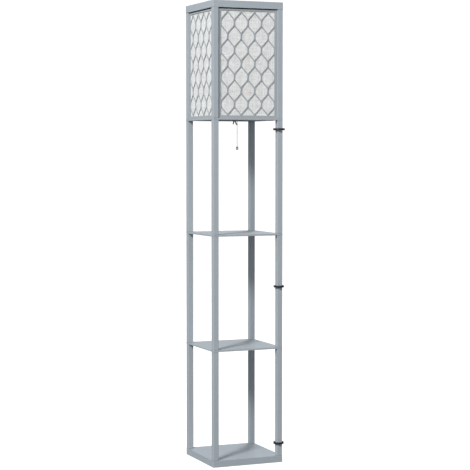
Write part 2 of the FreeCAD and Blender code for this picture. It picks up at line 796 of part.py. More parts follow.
def make_housing():
    high = "(sizes.housing_below + sizes.housing_above)"
    floor = "sizes.housing_floor"
    body = turned_body("switch_housing", [
        ("0", "0"),
        ("sizes.housing_radius", "0"),
        ("sizes.housing_radius", "sizes.housing_below"),
        ("sizes.flange_radius", "sizes.housing_below"),
        ("sizes.flange_radius", "(sizes.housing_below + sizes.flange_thick)"),
        ("sizes.housing_radius", "(sizes.housing_below + sizes.flange_thick)"),
        ("sizes.housing_radius", high),
        (HOUSING_INNER, high),
        (HOUSING_INNER, floor),
        ("0", floor),
    ], z=HOUSING_LOW)
    drill(body, floor, "sizes.chain_hole", floor, "sizes.chain_place")
    drill(body, floor, "(sizes.guide_screw_radius + sizes.fit)", floor, "sizes.guide_screw_place")
    sketch = new_sketch(body, level="(sizes.housing_below + sizes.flange_thick)")
    for x in ("(-1 * sizes.housing_screw_out)", "sizes.housing_screw_out"):
        draw_circle(sketch, "(sizes.strap_screw_radius + sizes.fit)", x, "0")
    add_pocket(body, sketch, "sizes.flange_thick")
    pin_holes = new_sketch(body, "XZ_Plane", "(-1 * sizes.housing_radius)")
    draw_circle(pin_holes, "(sizes.pin_radius + sizes.fit)", PIN_PLACE,
                "(sizes.housing_below + sizes.pin_height)")
    add_pocket(body, pin_holes, "(2 * sizes.housing_radius)", forward=True)


def cross_rod(name, radius, long, x, y, z):
    """A cylinder along Y that starts at y."""
    cylinder = doc.addObject("Part::Cylinder", name)
    turned = FreeCAD.Rotation(FreeCAD.Vector(1, 0, 0), -90)
    cylinder.Placement = FreeCAD.Placement(FreeCAD.Vector(0, 0, 0), turned)
    cylinder.setExpression("Radius", radius)
    cylinder.setExpression("Height", long)
    place(cylinder, x, y, z)
    return cylinder


def make_switch_works():
    pin = cross_rod("switch_pin", "sizes.pin_radius", f"(2 * {HOUSING_INNER})", PIN_PLACE,
                    f"(-1 * {HOUSING_INNER})", PIN_LEVEL)
    keep(pin, "switch_pin")
    make_lever()
    make_cam()
    make_spring()
    make_contacts()


def make_lever():
    """The forked lever that the chain pulls down, raised by the spring at rest."""
    lever = doc.addObject("PartDesign::Body", "switch_lever")
    keep(lever, "switch_lever")
    tilt = FreeCAD.Rotation(FreeCAD.Vector(0, -1, 0), number("sizes.lever_raised"))
    lever.Placement = FreeCAD.Placement(FreeCAD.Vector(0, 0, 0), tilt)
    lever.setExpression(".Placement.Rotation.Angle", "sizes.lever_raised")
    place(lever, PIN_PLACE, "0", PIN_LEVEL)
    hub = new_sketch(lever, "XZ_Plane", "(-1 * sizes.lever_wide / 2)")
    draw_circle(hub, "(sizes.pin_radius + sizes.lever_hub_wall)")
    add_pad(lever, hub, "sizes.lever_wide")
    arm = new_sketch(lever, "XZ_Plane", "(-1 * sizes.lever_wide / 2)")
    tip = "(sizes.lever_arm + sizes.lever_past_chain)"
    draw_outline(arm, [
        ("0", "(-1 * sizes.lever_root_half)"),
        (tip, "(-1 * sizes.lever_tip_half)"),
        (tip, "sizes.lever_tip_half"),
        ("0", "sizes.lever_root_half"),
    ])
    add_pad(lever, arm, "sizes.lever_wide")
    bore = new_sketch(lever, "XZ_Plane", "(-1 * sizes.lever_wide / 2)")
    draw_circle(bore, "(sizes.pin_radius + sizes.fit)")
    add_pocket(lever, bore, "sizes.lever_wide", forward=True)
    # The slot opens at the arm's tip, so the chain's link goes in from the end.
    slot = new_sketch(lever, level="sizes.lever_root_half")
    slot_middle = f"({tip} - sizes.lever_slot_long / 2)"
    slot_wide = "(2 * (sizes.link_radius + sizes.lever_slot_gap))"
    draw_box(slot, "sizes.lever_slot_long", slot_wide, slot_middle)
    add_pocket(lever, slot, "(2 * sizes.lever_root_half)")


def make_cam():
    """The four-toothed ratchet cam, which turns on the same pin beside the lever."""
    cam = doc.addObject("PartDesign::Body", "switch_cam")
    keep(cam, "switch_cam")
    place(cam, PIN_PLACE, "(sizes.lever_wide / 2 + sizes.cam_gap)", PIN_LEVEL)
    plan = new_sketch(cam, "XZ_Plane")
    corners = []
    for quarter in range(4):
        tip = f"({quarter} * 90 deg)"
        root = f"({quarter} * 90 deg + sizes.cam_tooth_turn * 1 deg)"
        corners.append((f"(sizes.cam_radius * cos{tip})", f"(sizes.cam_radius * sin{tip})"))
        corners.append((f"(sizes.cam_root_radius * cos{root})", f"(sizes.cam_root_radius * sin{root})"))
    draw_outline(plan, corners)
    add_pad(cam, plan, "sizes.cam_wide", backward=True)
    bore = new_sketch(cam, "XZ_Plane")
    draw_circle(bore, "(sizes.pin_radius + sizes.fit)")
    add_pocket(cam, bore, "sizes.cam_wide")


def make_spring():
    """The lever's return spring, a torsion spring round the pin beside the lever."""
    spring = doc.addObject("Part::Feature", "switch_spring")
    wire = number("sizes.spring_wire")
    pitch = 2 * wire + number("sizes.spring_turn_gap")
    coil = Part.makeHelix(pitch, pitch * number("sizes.spring_turns"), number("sizes.spring_radius"))
    start = coil.Edges[0].valueAt(coil.Edges[0].FirstParameter)
    ring = Part.Wire([Part.makeCircle(wire, start, FreeCAD.Vector(0, 1, 0))])
    shape = Part.Wire(coil).makePipeShell([ring], True, True)
    spring.Shape = shape
    turned = FreeCAD.Rotation(FreeCAD.Vector(1, 0, 0), 90)
    spring.Placement = FreeCAD.Placement(FreeCAD.Vector(0, 0, 0), turned)
    place(spring, PIN_PLACE, "(-1 * (sizes.lever_wide / 2 + sizes.spring_beside_lever))", PIN_LEVEL)
    keep(spring, "switch_spring")


def make_contacts():
    """Two brass contact leaves standing on the housing's floor beside the cam."""
    leaves = []
    floor = f"({HOUSING_LOW} + sizes.housing_floor)"
    reach = "(sizes.cam_radius + sizes.leaf_gap)"
    left = f"({PIN_PLACE} - {reach} - sizes.leaf_thick)"
    for name, x in (("left", left), ("right", f"({PIN_PLACE} + {reach})")):
        leaf = doc.addObject("Part::Box", f"contact_leaf_{name}")
        leaf.setExpression("Length", "sizes.leaf_thick")
        leaf.setExpression("Width", "sizes.leaf_wide")
        leaf.setExpression("Height", f"({PIN_LEVEL} + sizes.leaf_over_pin - {floor})")
        place(leaf, x, "(sizes.lever_wide / 2 + sizes.cam_gap)", floor)
        leaves.append(leaf)
    group("switch_contacts", leaves)


def make_guide():
    """The bracket under the switch: a plate with two wire legs, and an eye on the right one for the chain."""
    plate_top = HOUSING_LOW
    plate_low = f"({HOUSING_LOW} - sizes.guide_plate_thick)"
    body = new_body("chain_guide", z=plate_low)
    plate = new_sketch(body)
    draw_box(plate, "(sizes.guide_right - sizes.guide_left + 2 * sizes.guide_wire)", "sizes.guide_plate_wide",
             "((sizes.guide_left + sizes.guide_right) / 2)")
    add_pad(body, plate, "sizes.guide_plate_thick")
    eye = "(-1 * sizes.guide_drop)"
    # The legs reach half-way into the plate, so they join it.
    leg_top = "(sizes.guide_plate_thick / 2)"
    inner_leg = "(sizes.guide_left + sizes.guide_wire)"
    left_leg = new_sketch(body, "XZ_Plane", "(-1 * sizes.guide_wire)")
    draw_outline(left_leg, [
        ("(sizes.guide_left - sizes.guide_wire)", leg_top),
        ("(sizes.guide_left - sizes.guide_wire)", eye),
        (inner_leg, eye),
        (inner_leg, leg_top),
    ])
    add_pad(body, left_leg, "(2 * sizes.guide_wire)")
    foot = "(sizes.chain_place - sizes.guide_eye - sizes.guide_eye_wire / 2)"
    right_leg = new_sketch(body, "XZ_Plane", "(-1 * sizes.guide_wire)")
    draw_outline(right_leg, [
        ("(sizes.guide_right - sizes.guide_wire)", leg_top),
        (f"({foot} - 2 * sizes.guide_wire)", eye),
        (foot, eye),
        ("(sizes.guide_right + sizes.guide_wire)", leg_top),
    ])
    add_pad(body, right_leg, "(2 * sizes.guide_wire)")
    ring = new_sketch(body, level=eye)
    draw_circle(ring, "(sizes.guide_eye + 2 * sizes.guide_eye_wire)", "sizes.chain_place")
    draw_circle(ring, "sizes.guide_eye", "sizes.chain_place")
    add_pad(body, ring, "(2 * sizes.guide_eye_wire)")
    drill(body, "sizes.guide_plate_thick", "(sizes.guide_screw_radius + sizes.fit)",
          "sizes.guide_plate_thick", "sizes.guide_screw_place")

    shank_long = ("(sizes.guide_plate_thick + sizes.housing_floor + sizes.nut_high"
                  " + sizes.guide_screw_spare)")
    head = rod("guide_screw_head", "sizes.guide_screw_head", "sizes.guide_screw_head_high",
               "sizes.guide_screw_place", "0", f"({plate_low} - sizes.guide_screw_head_high)")
    shank = rod("guide_screw_shank", "sizes.guide_screw_radius", shank_long,
                "sizes.guide_screw_place", "0", plate_low)
    screw = doc.addObject("Part::MultiFuse", "guide_screw")
    screw.Shapes = [head, shank]
    keep(screw, "guide_screw")

    nut = new_body("guide_nut", "sizes.guide_screw_place", "0", f"({plate_top} + sizes.housing_floor)")
    plan = new_sketch(nut)
    corners = []
    for sixth in range(6):
        turn = f"({sixth} * 60 deg)"
        corners.append((f"(sizes.nut_radius * cos{turn})", f"(sizes.nut_radius * sin{turn})"))
    draw_outline(plan, corners)
    add_pad(nut, plan, "sizes.nut_high")
    drill(nut, "sizes.nut_high", "(sizes.guide_screw_radius + sizes.fit)", "sizes.nut_high")


# ---------------------------------------------------------------- chain and pull

def draw_bead(sketch, top, drop):
    """Half of a ball-chain bead whose highest point is at top, with its link going down to drop below it."""
    bead, link = number("sizes.bead_radius"), number("sizes.link_radius")
    high, low = number(top), number(f"{top} - {drop}")
    spin = math.asin(link / bead)
    circle = Part.Circle(FreeCAD.Vector(0, high - bead, 0), FreeCAD.Vector(0, 0, 1), bead)
    arc = sketch.addGeometry(Part.ArcOfCircle(circle, -math.pi / 2 + spin, math.pi / 2))
    neck = FreeCAD.Vector(link, high - bead - bead * math.cos(spin), 0)
    side = sketch.addGeometry(Part.LineSegment(neck, FreeCAD.Vector(link, low, 0)))
    foot = sketch.addGeometry(Part.LineSegment(FreeCAD.Vector(link, low, 0), FreeCAD.Vector(0, low, 0)))
    axis = sketch.addGeometry(Part.LineSegment(FreeCAD.Vector(0, low, 0), FreeCAD.Vector(0, high, 0)))
    start, end = 1, 2
    sketch.addConstraint(Sketcher.Constraint("Coincident", arc, start, side, start))
    sketch.addConstraint(Sketcher.Constraint("Coincident", side, end, foot, start))
    sketch.addConstraint(Sketcher.Constraint("Coincident", foot, end, axis, start))
    sketch.addConstraint(Sketcher.Constraint("Coincident", axis, end, arc, end))
    sketch.addConstraint(Sketcher.Constraint("Vertical", side))
    sketch.addConstraint(Sketcher.Constraint("Horizontal", foot))
    sketch.addConstraint(Sketcher.Constraint("PointOnObject", arc, 3, -2))
    bind_point(sketch, axis, end, "0", top)
    bind_point(sketch, axis, start, "0", f"({top} - {drop})")
    bind(sketch, "Radius", arc, "sizes.bead_radius")
    bind(sketch, "Distance", foot, "sizes.link_radius")


def make_chain(label, beads, top):
    """A length of ball chain: one bead with its link, repeated downward."""
    body = new_body(label, "sizes.chain_place", "0", top)
    profile = new_sketch(body, "XZ_Plane")
    draw_bead(profile, "0", "(sizes.bead_pitch + sizes.link_sink)")
    turn = add_turn(body, profile)
    planes = {item.Role: item for item in body.Origin.OriginFeatures}
    row = body.newObject("PartDesign::LinearPattern", f"{label}_beads")
    row.Originals = [turn]
    row.Direction = (planes["Z_Axis"], [""])
    row.Reversed = True
    row.setExpression("Length", f"({beads} - 1) * sizes.bead_pitch")
    row.setExpression("Occurrences", beads)
    body.Tip = row
    doc.recompute()
    return body


def make_chains():
    # The upper length runs down through the guide's eye, and its end bead sits on the lever's fork.
    upper = make_chain("upper_chain", "sizes.upper_beads", CHAIN_TOP)
    end_bead = new_sketch(upper, "XZ_Plane")
    draw_bead(end_bead, "sizes.end_link", "(sizes.end_link + sizes.bead_radius)")
    add_turn(upper, end_bead)
    make_chain("pull_chain", "sizes.hanging_beads", HANGING_TOP)
    low = f"({HANGING_TOP} - sizes.hanging_beads * sizes.bead_pitch - sizes.link_sink)"
    pull = new_body("chain_pull", "sizes.chain_place", "0", f"({low} - sizes.pull_high)")
    profile = new_sketch(pull, "XZ_Plane")
    draw_outline(profile, [
        ("0", "0"),
        ("sizes.pull_foot_radius", "0"),
        ("sizes.pull_radius", "sizes.pull_low_edge"),
        ("sizes.pull_radius", "sizes.pull_high_edge"),
        ("sizes.pull_neck_radius", "sizes.pull_neck"),
        ("sizes.pull_top_radius", "sizes.pull_high"),
        ("0", "sizes.pull_high"),
    ])
    add_turn(pull, profile)


# ---------------------------------------------------------------- lamp holder and bulb

def make_holder():
    foot = "(-1 * sizes.holder_base_foot)"
    foot_radius = f"({HOUSING_INNER} - sizes.holder_gap)"
    body = turned_body("holder_base", [
        ("0", foot),
        (foot_radius, foot),
        (foot_radius, "0"),
        (IN_SHELL, "0"),
        (IN_SHELL, "sizes.holder_base_high"),
        ("0", "sizes.holder_base_high"),
    ], z=HOLDER_LOW)
    sketch = new_sketch(body, level="sizes.holder_base_high")
    for x in ("(-1 * sizes.holder_screw_out)", "sizes.holder_screw_out"):
        draw_circle(sketch, "(sizes.holder_screw_radius + sizes.fit)", x, "0")
    full_high = "(sizes.holder_base_high + sizes.holder_base_foot)"
    add_pocket(body, sketch, full_high)

    screws = []
    for i in (-1, 1):
        screws.append(pan_screw(f"holder_screw_{len(screws)}", "sizes.holder_screw_radius",
                                full_high, f"({i} * sizes.holder_screw_out)", "0", CONTACT_LOW))
    group("holder_screws", screws)

    flange_top = f"({STRAP_TOP} + sizes.flange_thick)"
    turned_body("holder_shell", [
        (SHELL_INNER, "0"),
        ("sizes.shell_radius", "0"),
        ("sizes.shell_radius", "(sizes.shell_high - sizes.shell_bevel_high)"),
        ("(sizes.shell_radius - sizes.shell_bevel_wide)", "sizes.shell_high"),
        (SHELL_INNER, "sizes.shell_high"),
    ], z=flange_top)

    turned_body("screw_shell", [
        ("(sizes.screw_shell_radius - sizes.screw_shell_wall)", "0"),
        (IN_SHELL, "0"),
        (IN_SHELL, "sizes.screw_shell_flange"),
        ("sizes.screw_shell_radius", "sizes.screw_shell_flange"),
        ("sizes.screw_shell_radius", "sizes.screw_shell_high"),
        ("(sizes.screw_shell_radius - sizes.screw_shell_wall)", "sizes.screw_shell_high"),
    ], z=CONTACT_LOW)

    turned_body("centre_contact", [
        ("0", "0"),
        ("sizes.contact_radius", "0"),
        ("sizes.contact_radius", "sizes.contact_rim"),
        ("sizes.contact_tip_radius", "sizes.contact_high"),
        ("0", "sizes.contact_high"),
    ], z=CONTACT_LOW)


def make_bulb_cap():
    thread_radius = "(sizes.bulb_cap_radius - sizes.cap_thread_depth)"
    rim_low = "(sizes.bulb_cap_high - sizes.cap_rim_high)"
    turned_body("bulb_cap", [
        ("0", "0"),
        ("sizes.cap_tip_radius", "0"),
        ("sizes.cap_shoulder_radius", "sizes.cap_tip_high"),
        ("sizes.cap_cone_radius", "sizes.cap_cone_high"),
        (thread_radius, "sizes.cap_thread_start"),
        (thread_radius, rim_low),
        ("sizes.bulb_cap_radius", rim_low),
        ("sizes.bulb_cap_radius", "sizes.bulb_cap_high"),
        ("0", "sizes.bulb_cap_high"),
    ], z=BULB_LOW)


def make_bulb_glass():
    # The body widens to where the globe's sphere starts.
    below = f"({GLOBE_MIDDLE} - {BODY_TOP})"
    mouth = f"sqrt(sizes.bulb_radius * sizes.bulb_radius - {below} * {below})"
    turned_body("bulb_body", [
        ("0", "0"),
        ("sizes.bulb_neck_radius", "0"),
        ("sizes.bulb_neck_radius", "sizes.bulb_neck_high"),
        ("sizes.bulb_flare_radius", "sizes.bulb_flare_high"),
        (mouth, "sizes.bulb_body_high"),
        ("0", "sizes.bulb_body_high"),
    ], z=CAP_TOP)
    ball = doc.addObject("Part::Sphere", "bulb_ball")
    ball.setExpression("Radius", "sizes.bulb_radius")
    place(ball, "0", "0", GLOBE_MIDDLE)
    cutter = doc.addObject("Part::Cylinder", "bulb_cutter")
    cutter.setExpression("Radius", "(sizes.bulb_radius + 1)")
    cutter.setExpression("Height", "sizes.bulb_radius")
    place(cutter, "0", "0", f"({BODY_TOP} - sizes.bulb_radius)")
    globe = doc.addObject("Part::Cut", "bulb_globe")
    globe.Base = ball
    globe.Tool = cutter
    doc.recompute()
    keep(globe, "bulb_globe")


# ---------------------------------------------------------------- cable fittings

def make_grommet():
    low = "(-1 * sizes.grommet_lip_thick)"
    high = "(sizes.shelf_thick + sizes.grommet_lip_thick)"
    lip_radius = "(sizes.grommet_radius + sizes.grommet_lip_wide)"
    turned_body("cable_grommet", [
        ("sizes.grommet_bore", low),
        (lip_radius, low),
        (lip_radius, "0"),
        ("sizes.grommet_radius", "0"),
        ("sizes.grommet_radius", "sizes.shelf_thick"),
        (lip_radius, "sizes.shelf_thick"),
        (lip_radius, high),
        ("sizes.grommet_bore", high),
    ], "sizes.grommet_place", "(-1 * sizes.grommet_place)", BOX_FLOOR)


def make_ring(name, radius, level):
    """A black ring round the front right post, with four lugs inside that bear on the post's corners."""
    body = doc.addObject("PartDesign::Body", name)
    place(body, CORNER, f"(-1 * {CORNER})", f"({level} - sizes.ring_high / 2)")
    hoop = new_sketch(body)
    draw_circle(hoop, radius)
    draw_circle(hoop, f"({radius} - sizes.ring_wall)")
    add_pad(body, hoop, "sizes.ring_high")
    # A post's rounded corner lies this far from the post's middle.
    corner = "(sqrt(2) * (sizes.post_side / 2 - sizes.post_round) + sizes.post_round)"
    half = "(sizes.ring_lug / 2)"
    start = f"({corner} + sizes.fit)"
    end = f"({radius} - sizes.ring_wall / 2)"
    for i, j in CORNERS.values():
        lug = new_sketch(body)
        corners = []
        for out, side in ((start, f"(-1 * {half})"), (end, f"(-1 * {half})"), (end, half), (start, half)):
            x = f"(({i} * {out} - {j} * {side}) / sqrt(2))"
            y = f"(({j} * {out} + {i} * {side}) / sqrt(2))"
            corners.append((x, y))
        draw_outline(lug, corners)
        add_pad(body, lug, "sizes.ring_high")
    return body


# ---------------------------------------------------------------- build

make_base()
make_shelf("lower_shelf", SHELF_LOW)
make_shelf("upper_shelf", SHELF_HIGH)
make_box_floor()
make_lid()
make_feet()
make_posts()
make_base_screws()
group("post_inserts", make_inserts("base_insert", "sizes.base_top")
      + make_inserts("lower_insert", f"({SHELF_LOW} - sizes.insert_long)")
      + make_inserts("middle_insert", f"({SHELF_HIGH} - sizes.insert_long)")
      + make_inserts("upper_insert", f"({BOX_FLOOR} - sizes.insert_long)"))
group("post_studs", make_studs("middle_stud", MIDDLE_LOW)
      + make_studs("upper_stud", UPPER_LOW)
      + make_studs("lamp_stud", BOX_LOW))
make_lid_dowels()
for side, turn in SIDES.items():
    make_trellis(side, turn)
make_shades()
make_battens()
make_strap()
make_strap_screws()
make_housing()
make_switch_works()
make_guide()
make_chains()
make_holder()
make_bulb_cap()
make_bulb_glass()
make_grommet()
group("cable_rings", [
    make_ring("low_cable_ring", "sizes.ring_radius", "sizes.low_ring_level"),
    make_ring("middle_cable_ring", "sizes.ring_radius", "sizes.middle_ring_level"),
])
keep(make_ring("top_cable_ring", "sizes.top_ring_radius", "sizes.top_ring_level"), "top_cable_ring")
doc.recompute()

# ---------------------------------------------------------------- checks and files

for item in doc.Objects:
    if "Invalid" in item.State or "Error" in item.State:
        raise RuntimeError(f"{item.Label}: {item.State}")

os.makedirs("parts", exist_ok=True)
for piece in made:
    if piece.Shape.isNull() or not piece.Shape.isValid():
        raise RuntimeError(f"{piece.Label}: its shape is not valid")
    piece.Shape.exportStep(f"parts/{piece.Label}.step")
print(len(made), "sub-parts written")
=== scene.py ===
"""Dresses the shelf floor lamp: painted frame, woven shades, turned and threaded fittings.

The lamp stands in a plain white studio, seen from the photograph's angle. Metres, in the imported
model's frame: the origin is on the floor under the lamp's middle, Z is up and -Y is the front.
"""

import json
import logging
import math
from dataclasses import dataclass
from enum import Enum
from typing import Callable, Iterable, Sequence, Union

import bmesh
import bpy
from mathutils import Matrix, Vector, noise


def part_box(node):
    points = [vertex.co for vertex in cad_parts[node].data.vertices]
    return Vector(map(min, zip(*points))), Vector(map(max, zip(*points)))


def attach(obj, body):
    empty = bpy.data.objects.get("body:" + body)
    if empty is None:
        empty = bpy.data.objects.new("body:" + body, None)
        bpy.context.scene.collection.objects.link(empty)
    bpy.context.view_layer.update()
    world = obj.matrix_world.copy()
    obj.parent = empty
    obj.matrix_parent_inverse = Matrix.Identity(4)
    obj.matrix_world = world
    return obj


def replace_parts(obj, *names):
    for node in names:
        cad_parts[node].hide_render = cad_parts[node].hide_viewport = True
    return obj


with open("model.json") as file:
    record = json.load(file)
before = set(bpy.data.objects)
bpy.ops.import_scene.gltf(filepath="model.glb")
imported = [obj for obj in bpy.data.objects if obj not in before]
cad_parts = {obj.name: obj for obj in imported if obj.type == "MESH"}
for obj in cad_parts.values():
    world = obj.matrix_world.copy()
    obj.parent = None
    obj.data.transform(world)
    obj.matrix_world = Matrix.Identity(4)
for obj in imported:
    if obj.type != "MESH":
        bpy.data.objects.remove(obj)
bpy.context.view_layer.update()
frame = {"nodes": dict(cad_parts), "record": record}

NOISE_MIDDLE = 0.5  # the level that a noise texture sways around
WELD = 1e-6  # points closer than this, in metres, become one

Colour = tuple[float, float, float]
Profile = Sequence[tuple[float, float]]
Socket = bpy.types.NodeSocket
Feed = Union[Socket, float, int, tuple]

log = logging.getLogger("shelf_lamp")


class Body(Enum):
    """The bodies of the lamp that move against each other."""

    FRAME = "frame"
    UPPER_CHAIN = "upper_chain"
    HANGING_CHAIN = "hanging_chain"


class Side(Enum):
    """The lamp box's four sides, each with its outward direction."""

    FRONT = (0, -1)
    RIGHT = (1, 0)
    BACK = (0, 1)
    LEFT = (-1, 0)

    @property
    def label(self) -> str:
        """The side's name as the nodes spell it."""
        return self.name.lower()


# ---------------------------------------------------------------- shader trees and shared effects


class Tree:
    """A node tree with short ways to add nodes, set their sockets and join them."""

    def __init__(self, tree: bpy.types.NodeTree) -> None:
        """Wraps a node tree.

        Args:
            tree: the tree that the nodes go into.
        """
        self.tree = tree

    def feed(self, socket: Socket, value: Feed) -> None:
        """Joins a socket to another one, or sets its value.

        Args:
            socket: the input socket.
            value: an output socket, a number, or a colour or vector.
        """
        if isinstance(value, bpy.types.NodeSocket):
            self.tree.links.new(value, socket)
        elif socket.type == "RGBA" and len(value) == 3:
            socket.default_value = (*value, 1)
        else:
            socket.default_value = value

    def add(self, kind: str, inputs: dict[Union[str, int], Feed] | None = None,
            **settings: object) -> bpy.types.Node:
        """Adds a node.

        Args:
            kind: the node's type.
            inputs: what its input sockets take, by name or number.
            settings: the node's own settings.

        Returns:
            The new node.
        """
        node = self.tree.nodes.new(kind)
        for name, value in settings.items():
            setattr(node, name, value)
        for name, value in (inputs or {}).items():
            self.feed(node.inputs[name], value)
        return node

    def maths(self, operation: str, first: Feed, second: Feed = 0.0, clamp: bool = False) -> Socket:
        """One step of arithmetic.

        Args:
            operation: the Math node's operation.
            first: its first value.
            second: its second value.
            clamp: whether the result is held between 0 and 1.

        Returns:
            The result.
        """
        node = self.add("ShaderNodeMath", {0: first, 1: second}, operation=operation, use_clamp=clamp)
        return node.outputs[0]

    def weigh(self, first: Feed, first_share: float, second: Feed, second_share: float) -> Socket:
        """Adds two values, each multiplied by its share.

        Args:
            first: the first value.
            first_share: what it is multiplied by.
            second: the second value.
            second_share: what it is multiplied by.

        Returns:
            The sum.
        """
        parts = (self.maths("MULTIPLY", first, first_share), self.maths("MULTIPLY", second, second_share))
        return self.maths("ADD", *parts)

    def spread(self, value: Feed, low: Feed, high: Feed, start: Feed = 0.0, end: Feed = 1.0) -> Socket:
        """Maps a value from the range start to end onto the range low to high.

        Args:
            value: the value to map.
            low: the result at start.
            high: the result at end.
            start: the value's low end.
            end: the value's high end.

        Returns:
            The mapped value.
        """
        names = ("Value", "From Min", "From Max", "To Min", "To Max")
        node = self.add("ShaderNodeMapRange", dict(zip(names, (value, start, end, low, high))))
        return node.outputs["Result"]

    def place(self) -> Socket:
        """The point on the object, in metres."""
        return self.add("ShaderNodeTexCoord").outputs["Object"]

    def stretched(self, scale: Feed) -> Socket:
        """The point on the object with each direction multiplied by its own number.

        Args:
            scale: three numbers, or a socket that gives them.

        Returns:
            The stretched point.
        """
        node = self.add("ShaderNodeVectorMath", {0: self.place(), 1: scale}, operation="MULTIPLY")
        return node.outputs["Vector"]

    def noise(self, point: Socket, scale: Feed, detail: float = 2.0, roughness: float = 0.5) -> Socket:
        """Soft random values around one half.

        Args:
            point: where the value is read.
            scale: how many features there are in a metre.
            detail: how many finer layers are added.
            roughness: how strong those layers are.

        Returns:
            The value.
        """
        inputs = {"Vector": point, "Scale": scale, "Detail": detail, "Roughness": roughness}
        return self.add("ShaderNodeTexNoise", inputs).outputs["Fac"]

    def blend(self, share: Feed, first: Feed, second: Feed, way: str = "MIX") -> Socket:
        """Mixes two colours.

        Args:
            share: how much of the second colour shows.
            first: the first colour.
            second: the second colour.
            way: how they are mixed.

        Returns:
            The mixed colour.
        """
        node = self.add("ShaderNodeMix", data_type="RGBA", blend_type=way)
        self.feed(node.inputs["Factor"], share)
        self.feed(node.inputs[6], first)
        self.feed(node.inputs[7], second)
        return node.outputs[2]

    def brighten(self, colour: Feed, value: Feed) -> Socket:
        """Multiplies a colour's brightness.

        Args:
            colour: the colour.
            value: the multiplier.

        Returns:
            The new colour.
        """
        return self.add("ShaderNodeHueSaturation", {"Color": colour, "Value": value}).outputs["Color"]


class Effect(Enum):
    """The shader groups that more than one finish uses."""

    MOTTLE = "mottle"
    EDGE_WEAR = "edge_wear"
    SPRAYED = "sprayed_surface"
    DRAWN = "drawn_metal"
    GRAIN = "wood_grain"
    WEAVE = "plain_weave"
    HANDLED = "handling_marks"


